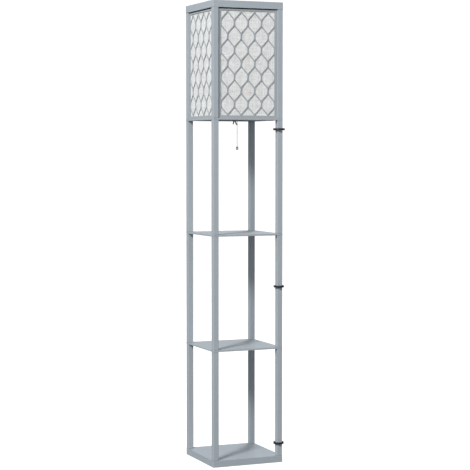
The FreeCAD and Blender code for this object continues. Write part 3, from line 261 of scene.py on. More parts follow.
class EffectShop:
    """Builds each shared effect once, and places it in the finishes' trees."""

    def __init__(self) -> None:
        """Builds every effect's node group."""
        makers = {
            Effect.MOTTLE: self._mottle,
            Effect.EDGE_WEAR: self._edge_wear,
            Effect.SPRAYED: self._sprayed,
            Effect.DRAWN: self._drawn,
            Effect.GRAIN: self._grain,
            Effect.WEAVE: self._weave,
            Effect.HANDLED: self._handled,
        }
        self.groups = {effect: make(effect.value) for effect, make in makers.items()}

    def use(self, tree: Tree, effect: Effect, **inputs: Feed) -> bpy.types.Node:
        """Places an effect in a finish's tree.

        Args:
            tree: the finish's tree.
            effect: which effect.
            inputs: its input values, named as its sockets in lower case.

        Returns:
            The group node, whose outputs are the effect's colours, masks and heights.
        """
        node = tree.add("ShaderNodeGroup", node_tree=self.groups[effect])
        for socket in node.inputs:
            key = socket.name.lower().replace(" ", "_")
            if key in inputs:
                tree.feed(socket, inputs[key])
        return node

    @staticmethod
    def _open(name: str, inputs: dict[str, str],
              outputs: dict[str, str]) -> tuple[Tree, bpy.types.Node, bpy.types.Node]:
        """Starts a node group with named sockets.

        Args:
            name: the group's name.
            inputs: each input's name and kind, Float, Color or Vector.
            outputs: each output's name and kind.

        Returns:
            The group's tree, its input node and its output node.
        """
        group = bpy.data.node_groups.new(name, "ShaderNodeTree")
        for title, kind in inputs.items():
            group.interface.new_socket(name=title, in_out="INPUT", socket_type=f"NodeSocket{kind}")
        for title, kind in outputs.items():
            group.interface.new_socket(name=title, in_out="OUTPUT", socket_type=f"NodeSocket{kind}")
        tree = Tree(group)
        return tree, tree.add("NodeGroupInput"), tree.add("NodeGroupOutput")

    def _mottle(self, name: str) -> bpy.types.NodeTree:
        """Uneven colour in broad and fine patches.

        Args:
            name: the group's name.

        Returns:
            The node group.
        """
        gain = 4.0
        sockets = {"Colour": "Color", "Broad": "Float", "Fine": "Float", "Amount": "Float"}
        tree, given, result = self._open(name, sockets, {"Colour": "Color"})
        broad = tree.noise(tree.place(), given.outputs["Broad"], detail=3.0)
        fine = tree.noise(tree.place(), given.outputs["Fine"], roughness=0.6)
        both = tree.weigh(broad, 0.6, fine, 0.4)
        swing = tree.maths("MULTIPLY", tree.maths("SUBTRACT", both, NOISE_MIDDLE), given.outputs["Amount"])
        value = tree.maths("ADD", tree.maths("MULTIPLY", swing, gain), 1.0)
        tree.feed(result.inputs["Colour"], tree.brighten(given.outputs["Colour"], value))
        return tree.tree

    def _edge_wear(self, name: str) -> bpy.types.NodeTree:
        """A broken line of wear along sharp edges.

        Args:
            name: the group's name.

        Returns:
            The node group.
        """
        sockets = {"Width": "Float", "Breakup": "Float", "Amount": "Float"}
        tree, given, result = self._open(name, sockets, {"Mask": "Float"})
        soft = tree.add("ShaderNodeBevel", {"Radius": given.outputs["Width"]}, samples=4)
        flat = tree.add("ShaderNodeNewGeometry")
        turned = tree.add("ShaderNodeVectorMath", {0: soft.outputs[0], 1: flat.outputs["Normal"]},
                          operation="DOT_PRODUCT")
        edge = tree.spread(turned.outputs["Value"], low=1.0, high=0.0, start=0.80, end=0.995)
        cloud = tree.noise(tree.place(), given.outputs["Breakup"], detail=3.0, roughness=0.65)
        patches = tree.spread(cloud, low=0.0, high=1.0, start=0.42, end=0.62)
        broken = tree.maths("MULTIPLY", edge, patches)
        worn = tree.maths("MULTIPLY", broken, given.outputs["Amount"], clamp=True)
        tree.feed(result.inputs["Mask"], worn)
        return tree.tree

    def _sprayed(self, name: str) -> bpy.types.NodeTree:
        """The faint orange-peel surface of sprayed or moulded skins.

        Args:
            name: the group's name.

        Returns:
            The node group.
        """
        grit_finer, cloud_scale, cloud_depth = 2.7, 14.0, 0.35
        sockets = {"Scale": "Float", "Rough": "Float"}
        tree, given, result = self._open(name, sockets, {"Height": "Float", "Roughness": "Float"})
        inputs = {"Vector": tree.place(), "Scale": given.outputs["Scale"], "Smoothness": 1.0}
        cells = tree.add("ShaderNodeTexVoronoi", inputs, feature="SMOOTH_F1")
        finer = tree.maths("MULTIPLY", given.outputs["Scale"], grit_finer)
        grit = tree.noise(tree.place(), finer, detail=3.0, roughness=0.6)
        height = tree.weigh(cells.outputs["Distance"], 0.6, grit, 0.4)
        cloud = tree.noise(tree.place(), cloud_scale, detail=4.0, roughness=0.55)
        sway = tree.maths("MULTIPLY", tree.maths("SUBTRACT", cloud, NOISE_MIDDLE), cloud_depth)
        tree.feed(result.inputs["Height"], height)
        tree.feed(result.inputs["Roughness"], tree.maths("ADD", sway, given.outputs["Rough"]))
        return tree.tree

    def _drawn(self, name: str) -> bpy.types.NodeTree:
        """Fine parallel lines left by rolling, drawing or turning metal.

        Args:
            name: the group's name.

        Returns:
            The node group.
        """
        cloud_scale, lines_depth, cloud_depth = 60.0, 0.18, 0.12
        sockets = {"Stretch": "Vector", "Rough": "Float"}
        tree, given, result = self._open(name, sockets, {"Height": "Float", "Roughness": "Float"})
        point = tree.stretched(given.outputs["Stretch"])
        lines = tree.noise(point, 1.0, detail=4.0, roughness=0.7)
        cloud = tree.noise(tree.place(), cloud_scale, detail=3.0)
        shade = tree.weigh(lines, lines_depth, cloud, cloud_depth)
        sway = tree.maths("SUBTRACT", shade, NOISE_MIDDLE * (lines_depth + cloud_depth))
        tree.feed(result.inputs["Height"], lines)
        tree.feed(result.inputs["Roughness"], tree.maths("ADD", given.outputs["Rough"], sway))
        return tree.tree

    def _grain(self, name: str) -> bpy.types.NodeTree:
        """Softwood grain that runs upward, with darker late-wood lines.

        Args:
            name: the group's name.

        Returns:
            The node group.
        """
        along_grain, fibres = (1.0, 1.0, 0.045), (900.0, 900.0, 24.0)
        slant, waver_scale, waver_depth, ring_sharpness, ring_height = 0.7, 30.0, 9.0, 3.0, 0.5
        sockets = {"Early Wood": "Color", "Late Wood": "Color", "Rings": "Float"}
        tree, given, result = self._open(name, sockets, {"Colour": "Color", "Height": "Float"})
        point = tree.stretched(along_grain)
        waver = tree.noise(point, waver_scale, detail=3.0)
        along = tree.add("ShaderNodeSeparateXYZ", {0: point})
        across = tree.maths("ADD", along.outputs["X"], tree.maths("MULTIPLY", along.outputs["Y"], slant))
        turn = tree.maths("ADD", tree.maths("MULTIPLY", across, given.outputs["Rings"]),
                          tree.maths("MULTIPLY", waver, waver_depth))
        band = tree.spread(tree.maths("SINE", turn), low=0.0, high=1.0, start=-1.0, end=1.0)
        ring = tree.maths("POWER", band, ring_sharpness)
        fibre = tree.noise(tree.stretched(fibres), 1.0, detail=3.0, roughness=0.6)
        late = tree.maths("MULTIPLY", ring, tree.spread(fibre, low=0.6, high=1.0, start=0.3, end=0.7))
        colour = tree.blend(late, given.outputs["Early Wood"], given.outputs["Late Wood"])
        shade = tree.spread(fibre, low=0.92, high=1.08, start=0.3, end=0.7)
        raised = tree.maths("MULTIPLY", ring, ring_height)
        tree.feed(result.inputs["Colour"], tree.brighten(colour, shade))
        tree.feed(result.inputs["Height"], tree.maths("ADD", fibre, raised))
        return tree.tree

    def _weave(self, name: str) -> bpy.types.NodeTree:
        """Plain weave with uneven slub threads both ways, on upright cloth; the darker gap colour paints the
        shade between the threads.

        Args:
            name: the group's name.

        Returns:
            The node group.
        """
        threads = ((640.0, 26.0, 0.0), (22.0, 720.0, 0.0))
        bundles = ((240.0, 26.0, 0.0), (30.0, 190.0, 0.0))
        cloud_scale, crossing_height = 42.0, 0.5
        sockets = {"Thread": "Color", "Gap": "Color", "Pitch": "Float", "Slub": "Float", "Streak": "Float"}
        tree, given, result = self._open(name, sockets, {"Colour": "Color", "Height": "Float"})
        point = tree.add("ShaderNodeSeparateXYZ", {0: tree.place()})
        level = point.outputs["Z"]
        # Every panel is square to X or to Y, so the sum of the two runs along it.
        across = tree.maths("ADD", point.outputs["X"], point.outputs["Y"])
        turn = tree.maths("DIVIDE", math.pi, given.outputs["Pitch"])
        warp = tree.maths("SINE", tree.maths("MULTIPLY", across, turn))
        weft = tree.maths("SINE", tree.maths("MULTIPLY", level, turn))
        crossing = tree.maths("MULTIPLY", warp, weft)
        over = tree.maths("ABSOLUTE", crossing)
        flat = tree.add("ShaderNodeCombineXYZ", {0: across, 1: level})
        # Single thick threads each way, then bundles of threads that read from across a room.
        runs = []
        for scale in (*threads, *bundles):
            run = tree.add("ShaderNodeVectorMath", {0: flat.outputs[0], 1: scale}, operation="MULTIPLY")
            runs.append(tree.noise(run.outputs[0], 1.0, roughness=0.7))
        slub = tree.maths("ADD", *runs[:2])
        bundle = tree.maths("ADD", *runs[2:])
        middle = 2 * NOISE_MIDDLE
        thick = tree.maths("MULTIPLY", tree.maths("SUBTRACT", slub, middle), given.outputs["Slub"])
        streak = tree.maths("MULTIPLY", tree.maths("SUBTRACT", bundle, middle), given.outputs["Streak"])
        swing = tree.maths("ADD", thick, streak)
        # Along the threads' edges the gap colour paints in the shade that falls between them.
        cover = tree.spread(over, low=0.35, high=1.0, start=0.0, end=0.45)
        cloth = tree.blend(cover, given.outputs["Gap"], given.outputs["Thread"])
        cloud = tree.noise(tree.place(), cloud_scale, detail=3.0)
        cloud = tree.spread(cloud, low=0.965, high=1.035, start=0.3, end=0.7)
        value = tree.maths("MULTIPLY", tree.maths("ADD", swing, 1.0), cloud)
        raised = tree.maths("MULTIPLY", crossing, crossing_height)
        tree.feed(result.inputs["Colour"], tree.brighten(cloth, value))
        tree.feed(result.inputs["Height"], tree.maths("ADD", raised, slub))
        return tree.tree

    def _handled(self, name: str) -> bpy.types.NodeTree:
        """Faint smears and fine scratches on things that are touched.

        Args:
            name: the group's name.

        Returns:
            The node group.
        """
        smear_scale, scratches = 90.0, (3000.0, 2600.0, 160.0)
        sockets = {"Rough": "Float", "Amount": "Float"}
        tree, given, result = self._open(name, sockets, {"Roughness": "Float"})
        smear = tree.noise(tree.place(), smear_scale, detail=4.0, roughness=0.6)
        smear = tree.spread(smear, low=0.0, high=1.0, start=0.45, end=0.7)
        scratch = tree.noise(tree.stretched(scratches), 1.0)
        scratch = tree.spread(scratch, low=0.0, high=1.0, start=0.62, end=0.72)
        marks = tree.maths("MULTIPLY", tree.maths("ADD", smear, scratch), given.outputs["Amount"])
        rough = tree.maths("ADD", marks, given.outputs["Rough"], clamp=True)
        tree.feed(result.inputs["Roughness"], rough)
        return tree.tree


# ---------------------------------------------------------------- finishes


@dataclass(frozen=True)
class Finish:
    """What a surface is made of. Each kind paints its own shader tree."""

    name: str

    def make(self, shop: EffectShop) -> bpy.types.Material:
        """Makes the material.

        Args:
            shop: the shared effects.

        Returns:
            The finished material.
        """
        material = bpy.data.materials.new(self.name)
        material.use_nodes = True
        tree = Tree(material.node_tree)
        shader = material.node_tree.nodes["Principled BSDF"]
        self.paint(tree, shader, shop)
        return material

    def paint(self, tree: Tree, shader: bpy.types.Node, shop: EffectShop) -> None:
        """Feeds the shader's sockets.

        Args:
            tree: the material's tree.
            shader: its Principled BSDF.
            shop: the shared effects.
        """
        raise NotImplementedError

    @staticmethod
    def emboss(tree: Tree, shader: bpy.types.Node, height: Socket, depth: float, strength: float = 1.0,
               soften: float = 0.0) -> None:
        """Gives the shader a relief, over edges that may be softened.

        Args:
            tree: the material's tree.
            shader: its Principled BSDF.
            height: the relief, around 0 to 1.
            depth: how deep the relief is, in metres.
            strength: how much of it shows.
            soften: the radius of the edges' rounding, in metres.
        """
        bump = tree.add("ShaderNodeBump", {"Height": height, "Distance": depth, "Strength": strength})
        if soften:
            rounded = tree.add("ShaderNodeBevel", {"Radius": soften}, samples=6)
            tree.feed(bump.inputs["Normal"], rounded.outputs[0])
        tree.feed(shader.inputs["Normal"], bump.outputs["Normal"])


@dataclass(frozen=True)
class SatinPaint(Finish):
    """Sprayed satin paint on board, a little thin and pale along the edges."""

    colour: Colour
    worn: Colour
    roughness: float = 0.56
    sheen: float = 0.03
    edge_round: float = 0.0011

    def paint(self, tree: Tree, shader: bpy.types.Node, shop: EffectShop) -> None:
        """Feeds the shader's sockets.

        Args:
            tree: the material's tree.
            shader: its Principled BSDF.
            shop: the shared effects.
        """
        mottle = shop.use(tree, Effect.MOTTLE, colour=self.colour, broad=5.0, fine=160.0, amount=0.045)
        wear = shop.use(tree, Effect.EDGE_WEAR, width=0.0012, breakup=55.0, amount=0.45)
        skin = shop.use(tree, Effect.SPRAYED, scale=620.0, rough=self.roughness)
        colour = tree.blend(wear.outputs["Mask"], mottle.outputs["Colour"], self.worn)
        tree.feed(shader.inputs["Base Color"], colour)
        tree.feed(shader.inputs["Roughness"], skin.outputs["Roughness"])
        shader.inputs["Specular IOR Level"].default_value = self.sheen
        self.emboss(tree, shader, skin.outputs["Height"], depth=0.00012, strength=0.5, soften=self.edge_round)


@dataclass(frozen=True)
class LinenCloth(Finish):
    """Off-white linen with slubs, laminated on a stiff liner."""

    thread: Colour
    # The darker colour between the threads is painted shade.
    gap: Colour
    warm: Colour = (1.0, 0.978, 0.956)
    warm_reach: tuple[float, float] = (0.121, 0.131)
    pitch: float = 0.00072
    slub: float = 0.20
    streak: float = 0.60
    warm_scale: float = 11.0
    fuzz_scale: float = 240.0

    def paint(self, tree: Tree, shader: bpy.types.Node, shop: EffectShop) -> None:
        """Feeds the shader's sockets.

        Args:
            tree: the material's tree.
            shader: its Principled BSDF.
            shop: the shared effects.
        """
        weave = shop.use(tree, Effect.WEAVE, thread=self.thread, gap=self.gap, pitch=self.pitch,
                         slub=self.slub, streak=self.streak)
        # A painted shade, warm and a little darker, in patches across the middle of each panel, where the bulb
        # and its holder would show through the cloth.
        start, end = self.warm_reach
        reach = tree.add("ShaderNodeVectorMath", {0: tree.stretched((1.0, 1.0, 0.0))}, operation="LENGTH")
        near = tree.spread(reach.outputs["Value"], low=1.0, high=0.0, start=start, end=end)
        patches = tree.noise(tree.place(), self.warm_scale)
        patches = tree.spread(patches, low=0.0, high=1.0, start=0.40, end=0.58)
        # How much of the painted bulb shade each point takes: a darkening tint, not light.
        glow = tree.maths("MULTIPLY", near, patches)
        cloth = tree.blend(glow, weave.outputs["Colour"], self.warm, "MULTIPLY")
        fuzz = tree.noise(tree.place(), self.fuzz_scale, detail=3.0)
        tree.feed(shader.inputs["Base Color"], cloth)
        tree.feed(shader.inputs["Roughness"], tree.spread(fuzz, low=0.78, high=0.94))
        shader.inputs["Specular IOR Level"].default_value = 0.2
        shader.inputs["Sheen Weight"].default_value = 0.05
        shader.inputs["Sheen Roughness"].default_value = 0.5
        self.emboss(tree, shader, weave.outputs["Height"], depth=0.00022, strength=0.7)


@dataclass(frozen=True)
class BareWood(Finish):
    """Unpainted softwood."""

    early: Colour
    late: Colour

    def paint(self, tree: Tree, shader: bpy.types.Node, shop: EffectShop) -> None:
        """Feeds the shader's sockets.

        Args:
            tree: the material's tree.
            shader: its Principled BSDF.
            shop: the shared effects.
        """
        grain = shop.use(tree, Effect.GRAIN, early_wood=self.early, late_wood=self.late, rings=2300.0)
        tree.feed(shader.inputs["Base Color"], grain.outputs["Colour"])
        tree.feed(shader.inputs["Roughness"], tree.spread(grain.outputs["Height"], low=0.62, high=0.8))
        self.emboss(tree, shader, grain.outputs["Height"], depth=0.0001, strength=0.6)


@dataclass(frozen=True)
class PlatedMetal(Finish):
    """Rolled, turned or drawn metal, plated or bare."""

    colour: Colour
    roughness: float
    stretch: tuple[float, float, float] = (40.0, 2400.0, 2400.0)
    metallic: float = 1.0
    uneven: float = 0.06
    handled: float = 0.12

    def paint(self, tree: Tree, shader: bpy.types.Node, shop: EffectShop) -> None:
        """Feeds the shader's sockets.

        Args:
            tree: the material's tree.
            shader: its Principled BSDF.
            shop: the shared effects.
        """
        mottle = shop.use(tree, Effect.MOTTLE, colour=self.colour, broad=70.0, fine=900.0,
                          amount=self.uneven)
        drawn = shop.use(tree, Effect.DRAWN, stretch=self.stretch, rough=self.roughness)
        marks = shop.use(tree, Effect.HANDLED, rough=drawn.outputs["Roughness"], amount=self.handled)
        tree.feed(shader.inputs["Base Color"], mottle.outputs["Colour"])
        tree.feed(shader.inputs["Roughness"], marks.outputs["Roughness"])
        shader.inputs["Metallic"].default_value = self.metallic
        self.emboss(tree, shader, drawn.outputs["Height"], depth=0.00003, strength=0.4, soften=0.0002)


@dataclass(frozen=True)
class Moulded(Finish):
    """Moulded plastic, rubber, opal diffuser or glazed porcelain."""

    colour: Colour
    roughness: float
    scale: float = 1400.0
    depth: float = 0.00005
    coat: float = 0.0
    edge_round: float = 0.0003

    def paint(self, tree: Tree, shader: bpy.types.Node, shop: EffectShop) -> None:
        """Feeds the shader's sockets.

        Args:
            tree: the material's tree.
            shader: its Principled BSDF.
            shop: the shared effects.
        """
        mottle = shop.use(tree, Effect.MOTTLE, colour=self.colour, broad=30.0, fine=500.0, amount=0.05)
        skin = shop.use(tree, Effect.SPRAYED, scale=self.scale, rough=self.roughness)
        marks = shop.use(tree, Effect.HANDLED, rough=skin.outputs["Roughness"], amount=0.08)
        tree.feed(shader.inputs["Base Color"], mottle.outputs["Colour"])
        tree.feed(shader.inputs["Roughness"], marks.outputs["Roughness"])
        shader.inputs["Coat Weight"].default_value = self.coat
        shader.inputs["Coat Roughness"].default_value = 0.08
        self.emboss(tree, shader, skin.outputs["Height"], depth=self.depth, strength=0.6,
                    soften=self.edge_round)


FINISHES: dict[str, Finish] = {
    "frame_paint": SatinPaint(
        "satin_blue_grey_paint", colour=(0.372, 0.415, 0.447), worn=(0.50, 0.54, 0.56)),
    # The trellis takes a darker copy of the frame's paint, which paints in the shade over the recessed panels.
    "trellis_paint": SatinPaint(
        "satin_paint_on_trellis", colour=(0.358, 0.385, 0.405), worn=(0.46, 0.495, 0.515),
        roughness=0.60, sheen=0.08, edge_round=0.0004),
    "batten_wood": BareWood("bare_pine", early=(0.66, 0.50, 0.32), late=(0.47, 0.30, 0.16)),
    "linen": LinenCloth("off_white_linen", thread=(0.770, 0.781, 0.775), gap=(0.58, 0.59, 0.59)),
    "fastener_steel": PlatedMetal(
        "zinc_plated_screws", colour=(0.60, 0.60, 0.61), roughness=0.30, stretch=(500.0, 500.0, 2400.0)),
    "strap_steel": PlatedMetal("zinc_plated_strap", colour=(0.52, 0.53, 0.54), roughness=0.38),
    "bronze_steel": PlatedMetal(
        "dark_bronze_coat", colour=(0.088, 0.058, 0.046), roughness=0.45, stretch=(900.0, 900.0, 60.0),
        metallic=0.6, uneven=0.10),
    "chrome_pull": PlatedMetal(
        "polished_chrome", colour=(0.78, 0.785, 0.79), roughness=0.22, stretch=(300.0, 300.0, 4000.0),
        metallic=0.6, uneven=0.03, handled=0.18),
    "nickel_chain": PlatedMetal(
        "nickel_chain", colour=(0.10, 0.099, 0.095), roughness=0.30, stretch=(900.0, 900.0, 900.0),
        metallic=0.9, uneven=0.05),
    "foot_rubber": Moulded(
        "foot_rubber", colour=(0.055, 0.055, 0.057), roughness=0.78, scale=900.0, depth=0.00012),
    "switch_plastic": Moulded("switch_moulding", colour=(0.66, 0.64, 0.58), roughness=0.42),
    "contact_brass": PlatedMetal(
        "contact_brass", colour=(0.74, 0.55, 0.25), roughness=0.26, stretch=(60.0, 2400.0, 2400.0)),
    "holder_plastic": Moulded("holder_moulding", colour=(0.76, 0.76, 0.74), roughness=0.34),
    "porcelain": Moulded(
        "glazed_porcelain", colour=(0.80, 0.79, 0.75), roughness=0.30, scale=260.0, depth=0.0001, coat=0.7),
    "bulb_metal": PlatedMetal(
        "bulb_cap_metal", colour=(0.70, 0.70, 0.71), roughness=0.24, stretch=(300.0, 300.0, 3000.0)),
    "bulb_plastic": Moulded(
        "bulb_body_plastic", colour=(0.80, 0.80, 0.79), roughness=0.30, scale=900.0, depth=0.00003, coat=0.2),
    "bulb_glass": Moulded(
        "opal_diffuser", colour=(0.88, 0.875, 0.85), roughness=0.36, scale=1800.0, depth=0.00002, coat=0.1),
    "grommet_rubber": Moulded(
        "grommet_rubber", colour=(0.022, 0.022, 0.023), roughness=0.66, scale=1100.0, depth=0.0001),
    "ring_plastic": Moulded(
        "black_nylon", colour=(0.010, 0.011, 0.014), roughness=0.42, scale=1000.0, depth=0.00006),
}


class PaintShop:
    """Makes every finish once and puts it on pieces and nodes."""

    def __init__(self) -> None:
        """Makes the materials of all the slots."""
        shop = EffectShop()
        self.materials = {slot: finish.make(shop) for slot, finish in FINISHES.items()}

    def coat(self, piece: bpy.types.Object, slot: str) -> None:
        """Puts a slot's material on every face of a piece.

        Args:
            piece: the piece or node.
            slot: the record's material slot.
        """
        if not piece.material_slots:
            piece.data.materials.append(self.materials[slot])
        for held in piece.material_slots:
            held.material = self.materials[slot]

    def coat_nodes(self) -> None:
        """Coats every carried-over node with the finish of its slot in the record."""
        for part in frame["record"]["subparts"]:
            trellis = part["node"].startswith("trellis_")
            # Trellis nodes take the darker paint that stands in for their shade.
            self.coat(frame["nodes"][part["node"]], "trellis_paint" if trellis else part["material_slot"])


# ---------------------------------------------------------------- mesh making


class Mould:
    """A mesh under construction, and ways to add turned, swept and flat shapes to it."""

    def __init__(self) -> None:
        """Starts an empty mesh."""
        self.mesh = bmesh.new()

    def ring(self, points: Iterable[Vector]) -> list[bmesh.types.BMVert]:
        """Adds vertices.

        Args:
            points: where they go.

        Returns:
            The new vertices, in order.
        """
        return [self.mesh.verts.new(point) for point in points]

    def bridge(self, first: Sequence[bmesh.types.BMVert], second: Sequence[bmesh.types.BMVert],
               closed: bool = True) -> None:
        """Joins two rows of vertices with faces. A row of one vertex makes a fan.

        Args:
            first: one row.
            second: the next row.
            closed: whether each row's end joins its start.
        """
        count = max(len(first), len(second))
        for index in range(count if closed else count - 1):
            after = (index + 1) % count
            low = (first[0],) if len(first) == 1 else (first[index], first[after])
            high = (second[0],) if len(second) == 1 else (second[after], second[index])
            self.mesh.faces.new((*low, *high))

    def turn(self, profile: Profile, matrix: Matrix, steps: int = 48,
             swell: Callable[[float, float], float] | None = None) -> None:
        """Turns a profile round the Z axis of matrix.

        Args:
            profile: (radius, height) points. A radius of 0 is a pole.
            matrix: where the shape goes.
            steps: how many faces go round.
            swell: what is added to the radius at a height and an angle, such as a screw thread.
        """
        rows = []
        for radius, height in profile:
            if radius == 0:
                rows.append(self.ring([matrix @ Vector((0, 0, height))]))
                continue
            row = []
            for index in range(steps):
                angle = math.tau * index / steps
                reach = radius + (swell(height, angle) if swell else 0)
                row.append(matrix @ Vector((reach * math.cos(angle), reach * math.sin(angle), height)))
            rows.append(self.ring(row))
        for first, second in zip(rows, rows[1:]):
            self.bridge(first, second)

    def sweep(self, path: Sequence[Vector], radius: float, steps: int = 14, closed: bool = False) -> None:
        """Runs a round section along a path that stays near an upright plane.

        Args:
            path: the path's points.
            radius: the section's radius.
            steps: how many faces go round.
            closed: whether the path's end joins its start.
        """
        too_steep = 0.1
        rows = []
        count = len(path)
        for index, point in enumerate(path):
            before = path[index - 1] if closed or index else point
            after = path[(index + 1) % count] if closed or index + 1 < count else point
            along = (after - before).normalized()
            side = along.cross(Vector((0, 1, 0)))
            side = side.normalized() if side.length > too_steep else Vector((0, 0, 1))
            up = along.cross(side)
            row = []
            for step in range(steps):
                angle = math.tau * step / steps
                row.append(point + radius * (math.cos(angle) * side + math.sin(angle) * up))
            rows.append(self.ring(row))
        for first, second in zip(rows, rows[1:] + (rows[:1] if closed else [])):
            self.bridge(first, second)
        if not closed:
            for row in (rows[0], rows[-1]):
                self.mesh.faces.new(row)

    def block(self, matrix: Matrix, size: Vector, bevel: float, segments: int = 3) -> None:
        """A block with rounded edges.

        Args:
            matrix: where its middle goes.
            size: its length, width and height.
            bevel: the radius of its edges.
            segments: how many faces round an edge.
        """
        made = bmesh.ops.create_cube(self.mesh, size=1.0, matrix=matrix @ Matrix.Diagonal((*size, 1.0)))
        edges = list({edge for vertex in made["verts"] for edge in vertex.link_edges})
        bmesh.ops.bevel(self.mesh, geom=edges, offset=bevel, segments=segments, affect="EDGES", profile=0.5)

    def weld(self) -> None:
        """Makes one vertex of those that lie on each other."""
        bmesh.ops.remove_doubles(self.mesh, verts=self.mesh.verts, dist=WELD)

    def finish(self, name: str, body: Body, slot: str, paint: PaintShop,
               sharp: float = 38.0) -> bpy.types.Object:
        """Turns the mesh into a piece of the lamp.

        Args:
            name: the piece's name.
            body: the body that it moves with.
            slot: its material slot in the record.
            paint: the paint shop.
            sharp: edges that turn by more than this, in degrees, stay crisp.

        Returns:
            The new piece.
        """
        bmesh.ops.recalc_face_normals(self.mesh, faces=self.mesh.faces)
        data = bpy.data.meshes.new(name)
        self.mesh.to_mesh(data)
        self.mesh.free()
        data.shade_smooth()
        data.set_sharp_from_angle(angle=math.radians(sharp))
        piece = bpy.data.objects.new(name, data)
        bpy.context.scene.collection.objects.link(piece)
        paint.coat(piece, slot)
        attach(piece, body.value)
        log.info("%s: %d faces on %s", name, len(data.polygons), body.value)
        return piece


def smooth_profile(points: Profile, rounds: int = 2) -> list[tuple[float, float]]:
    """Cuts a profile's corners, so that a turned shape flows.

    Args:
        points: (radius, height) points.
        rounds: how often the corners are cut.

    Returns:
        The smoother profile, with the same ends.
    """
    near, far = 0.75, 0.25
    line = list(points)
    for _ in range(rounds):
        cut = [line[0]]
        for (r0, z0), (r1, z1) in zip(line, line[1:]):
            cut.append((near * r0 + far * r1, near * z0 + far * z1))
            cut.append((far * r0 + near * r1, far * z0 + near * z1))
        cut.append(line[-1])
        line = cut
    return line


def rounded_corners(points: Profile, radius: float, steps: int = 4) -> list[tuple[float, float]]:
    """Replaces a profile's inner corners by small curves.

    Args:
        points: (radius, height) points.
        radius: how far from the corner the curve begins, at most a third of a run.
        steps: how many runs make a curve.

    Returns:
        The profile with soft corners and the same ends.
    """
    line = [Vector(point) for point in points]
    made = [tuple(line[0])]
    for before, corner, after in zip(line, line[1:], line[2:]):
        inward, outward = before - corner, after - corner
        start = corner + inward.normalized() * min(radius, inward.length / 3)
        end = corner + outward.normalized() * min(radius, outward.length / 3)
        for step in range(steps + 1):
            share = step / steps
            made.append(tuple((1 - share) ** 2 * start + 2 * share * (1 - share) * corner + share ** 2 * end))
    made.append(tuple(line[-1]))
    return made


def at(x: float, y: float, z: float, flip: bool = False) -> Matrix:
    """A place for a shape, upright or upside down.

    Args:
        x: its X.
        y: its Y.
        z: its Z.
        flip: whether the shape hangs upside down.

    Returns:
        The matrix.
    """
    place = Matrix.Translation((x, y, z))
    return place @ Matrix.Rotation(math.pi, 4, "X") if flip else place


# ---------------------------------------------------------------- lamp box


@dataclass
class LinenShades:
    """The four linen panels that stand behind the trellises, stretched flat between the battens."""

    paint: PaintShop
    cloth: float = 0.0004
    cell: float = 0.0045
    ripple: float = 0.00012
    ripple_scale: float = 28.0
    edge_rise: float = 4.0

    def panel(self, side: Side) -> bpy.types.Object:
        """Makes one panel as a fine grid of cloth with a slight unevenness.

        Args:
            side: which side of the lamp box.

        Returns:
            The sheet.
        """
        low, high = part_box(f"shade_{side.label}")
        middle, out = (low + high) / 2, Vector((*side.value, 0))
        run = Vector((-out.y, out.x, 0))
        size = high - low
        wide, tall = abs(size.dot(run)), size.z
        columns, rows = round(wide / self.cell), round(tall / self.cell)
        mould = Mould()
        lines = []
        for row in range(rows + 1):
            line = []
            for column in range(columns + 1):
                across, up = wide * (column / columns - 0.5), tall * (row / rows - 0.5)
                point = middle + run * across + Vector((0, 0, up))
                # The cloth is glued flat along its edges and lifts a hair between them.
                edge = math.sin(math.pi * column / columns) * math.sin(math.pi * row / rows)
                lift = self.ripple * noise.noise(point * self.ripple_scale) * min(1.0, self.edge_rise * edge)
                line.append(point + out * lift)
            lines.append(mould.ring(line))
        for first, second in zip(lines, lines[1:]):
            mould.bridge(first, second, closed=False)
        sheet = mould.finish(f"linen_panel_{side.label}", Body.FRAME, "linen", self.paint)
        thickness = sheet.modifiers.new("cloth", "SOLIDIFY")
        thickness.thickness = self.cloth
        thickness.offset = 0
        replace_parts(sheet, f"shade_{side.label}")
        return sheet

    def build(self) -> None:
        """Makes all four panels."""
        for side in Side:
            self.panel(side)


# ---------------------------------------------------------------- screws and threads


@dataclass(frozen=True)
class Thread:
    """A screw thread along part of a turned shape."""

    low: float
    high: float
    pitch: float
    depth: float
    rounded: bool = False
    steps: int = 8

    def levels(self) -> list[float]:
        """Heights close enough together to show the thread."""
        count = max(2, round((self.high - self.low) / self.pitch * self.steps))
        return [self.low + (self.high - self.low) * index / count for index in range(count + 1)]

    def swell(self, height: float, angle: float) -> float:
        """What the thread takes off the radius.

        Args:
            height: the height on the shape.
            angle: the angle round it.

        Returns:
            Nothing at a crest, and minus the depth in a groove.
        """
        if not self.low < height < self.high:
            return 0.0
        fade = min(1.0, (height - self.low) / self.pitch, (self.high - height) / self.pitch)
        wave = 0.5 + 0.5 * math.cos(math.tau * height / self.pitch - angle)
        groove = 1 - wave if self.rounded else 1 - wave ** 2
        return -self.depth * fade * groove


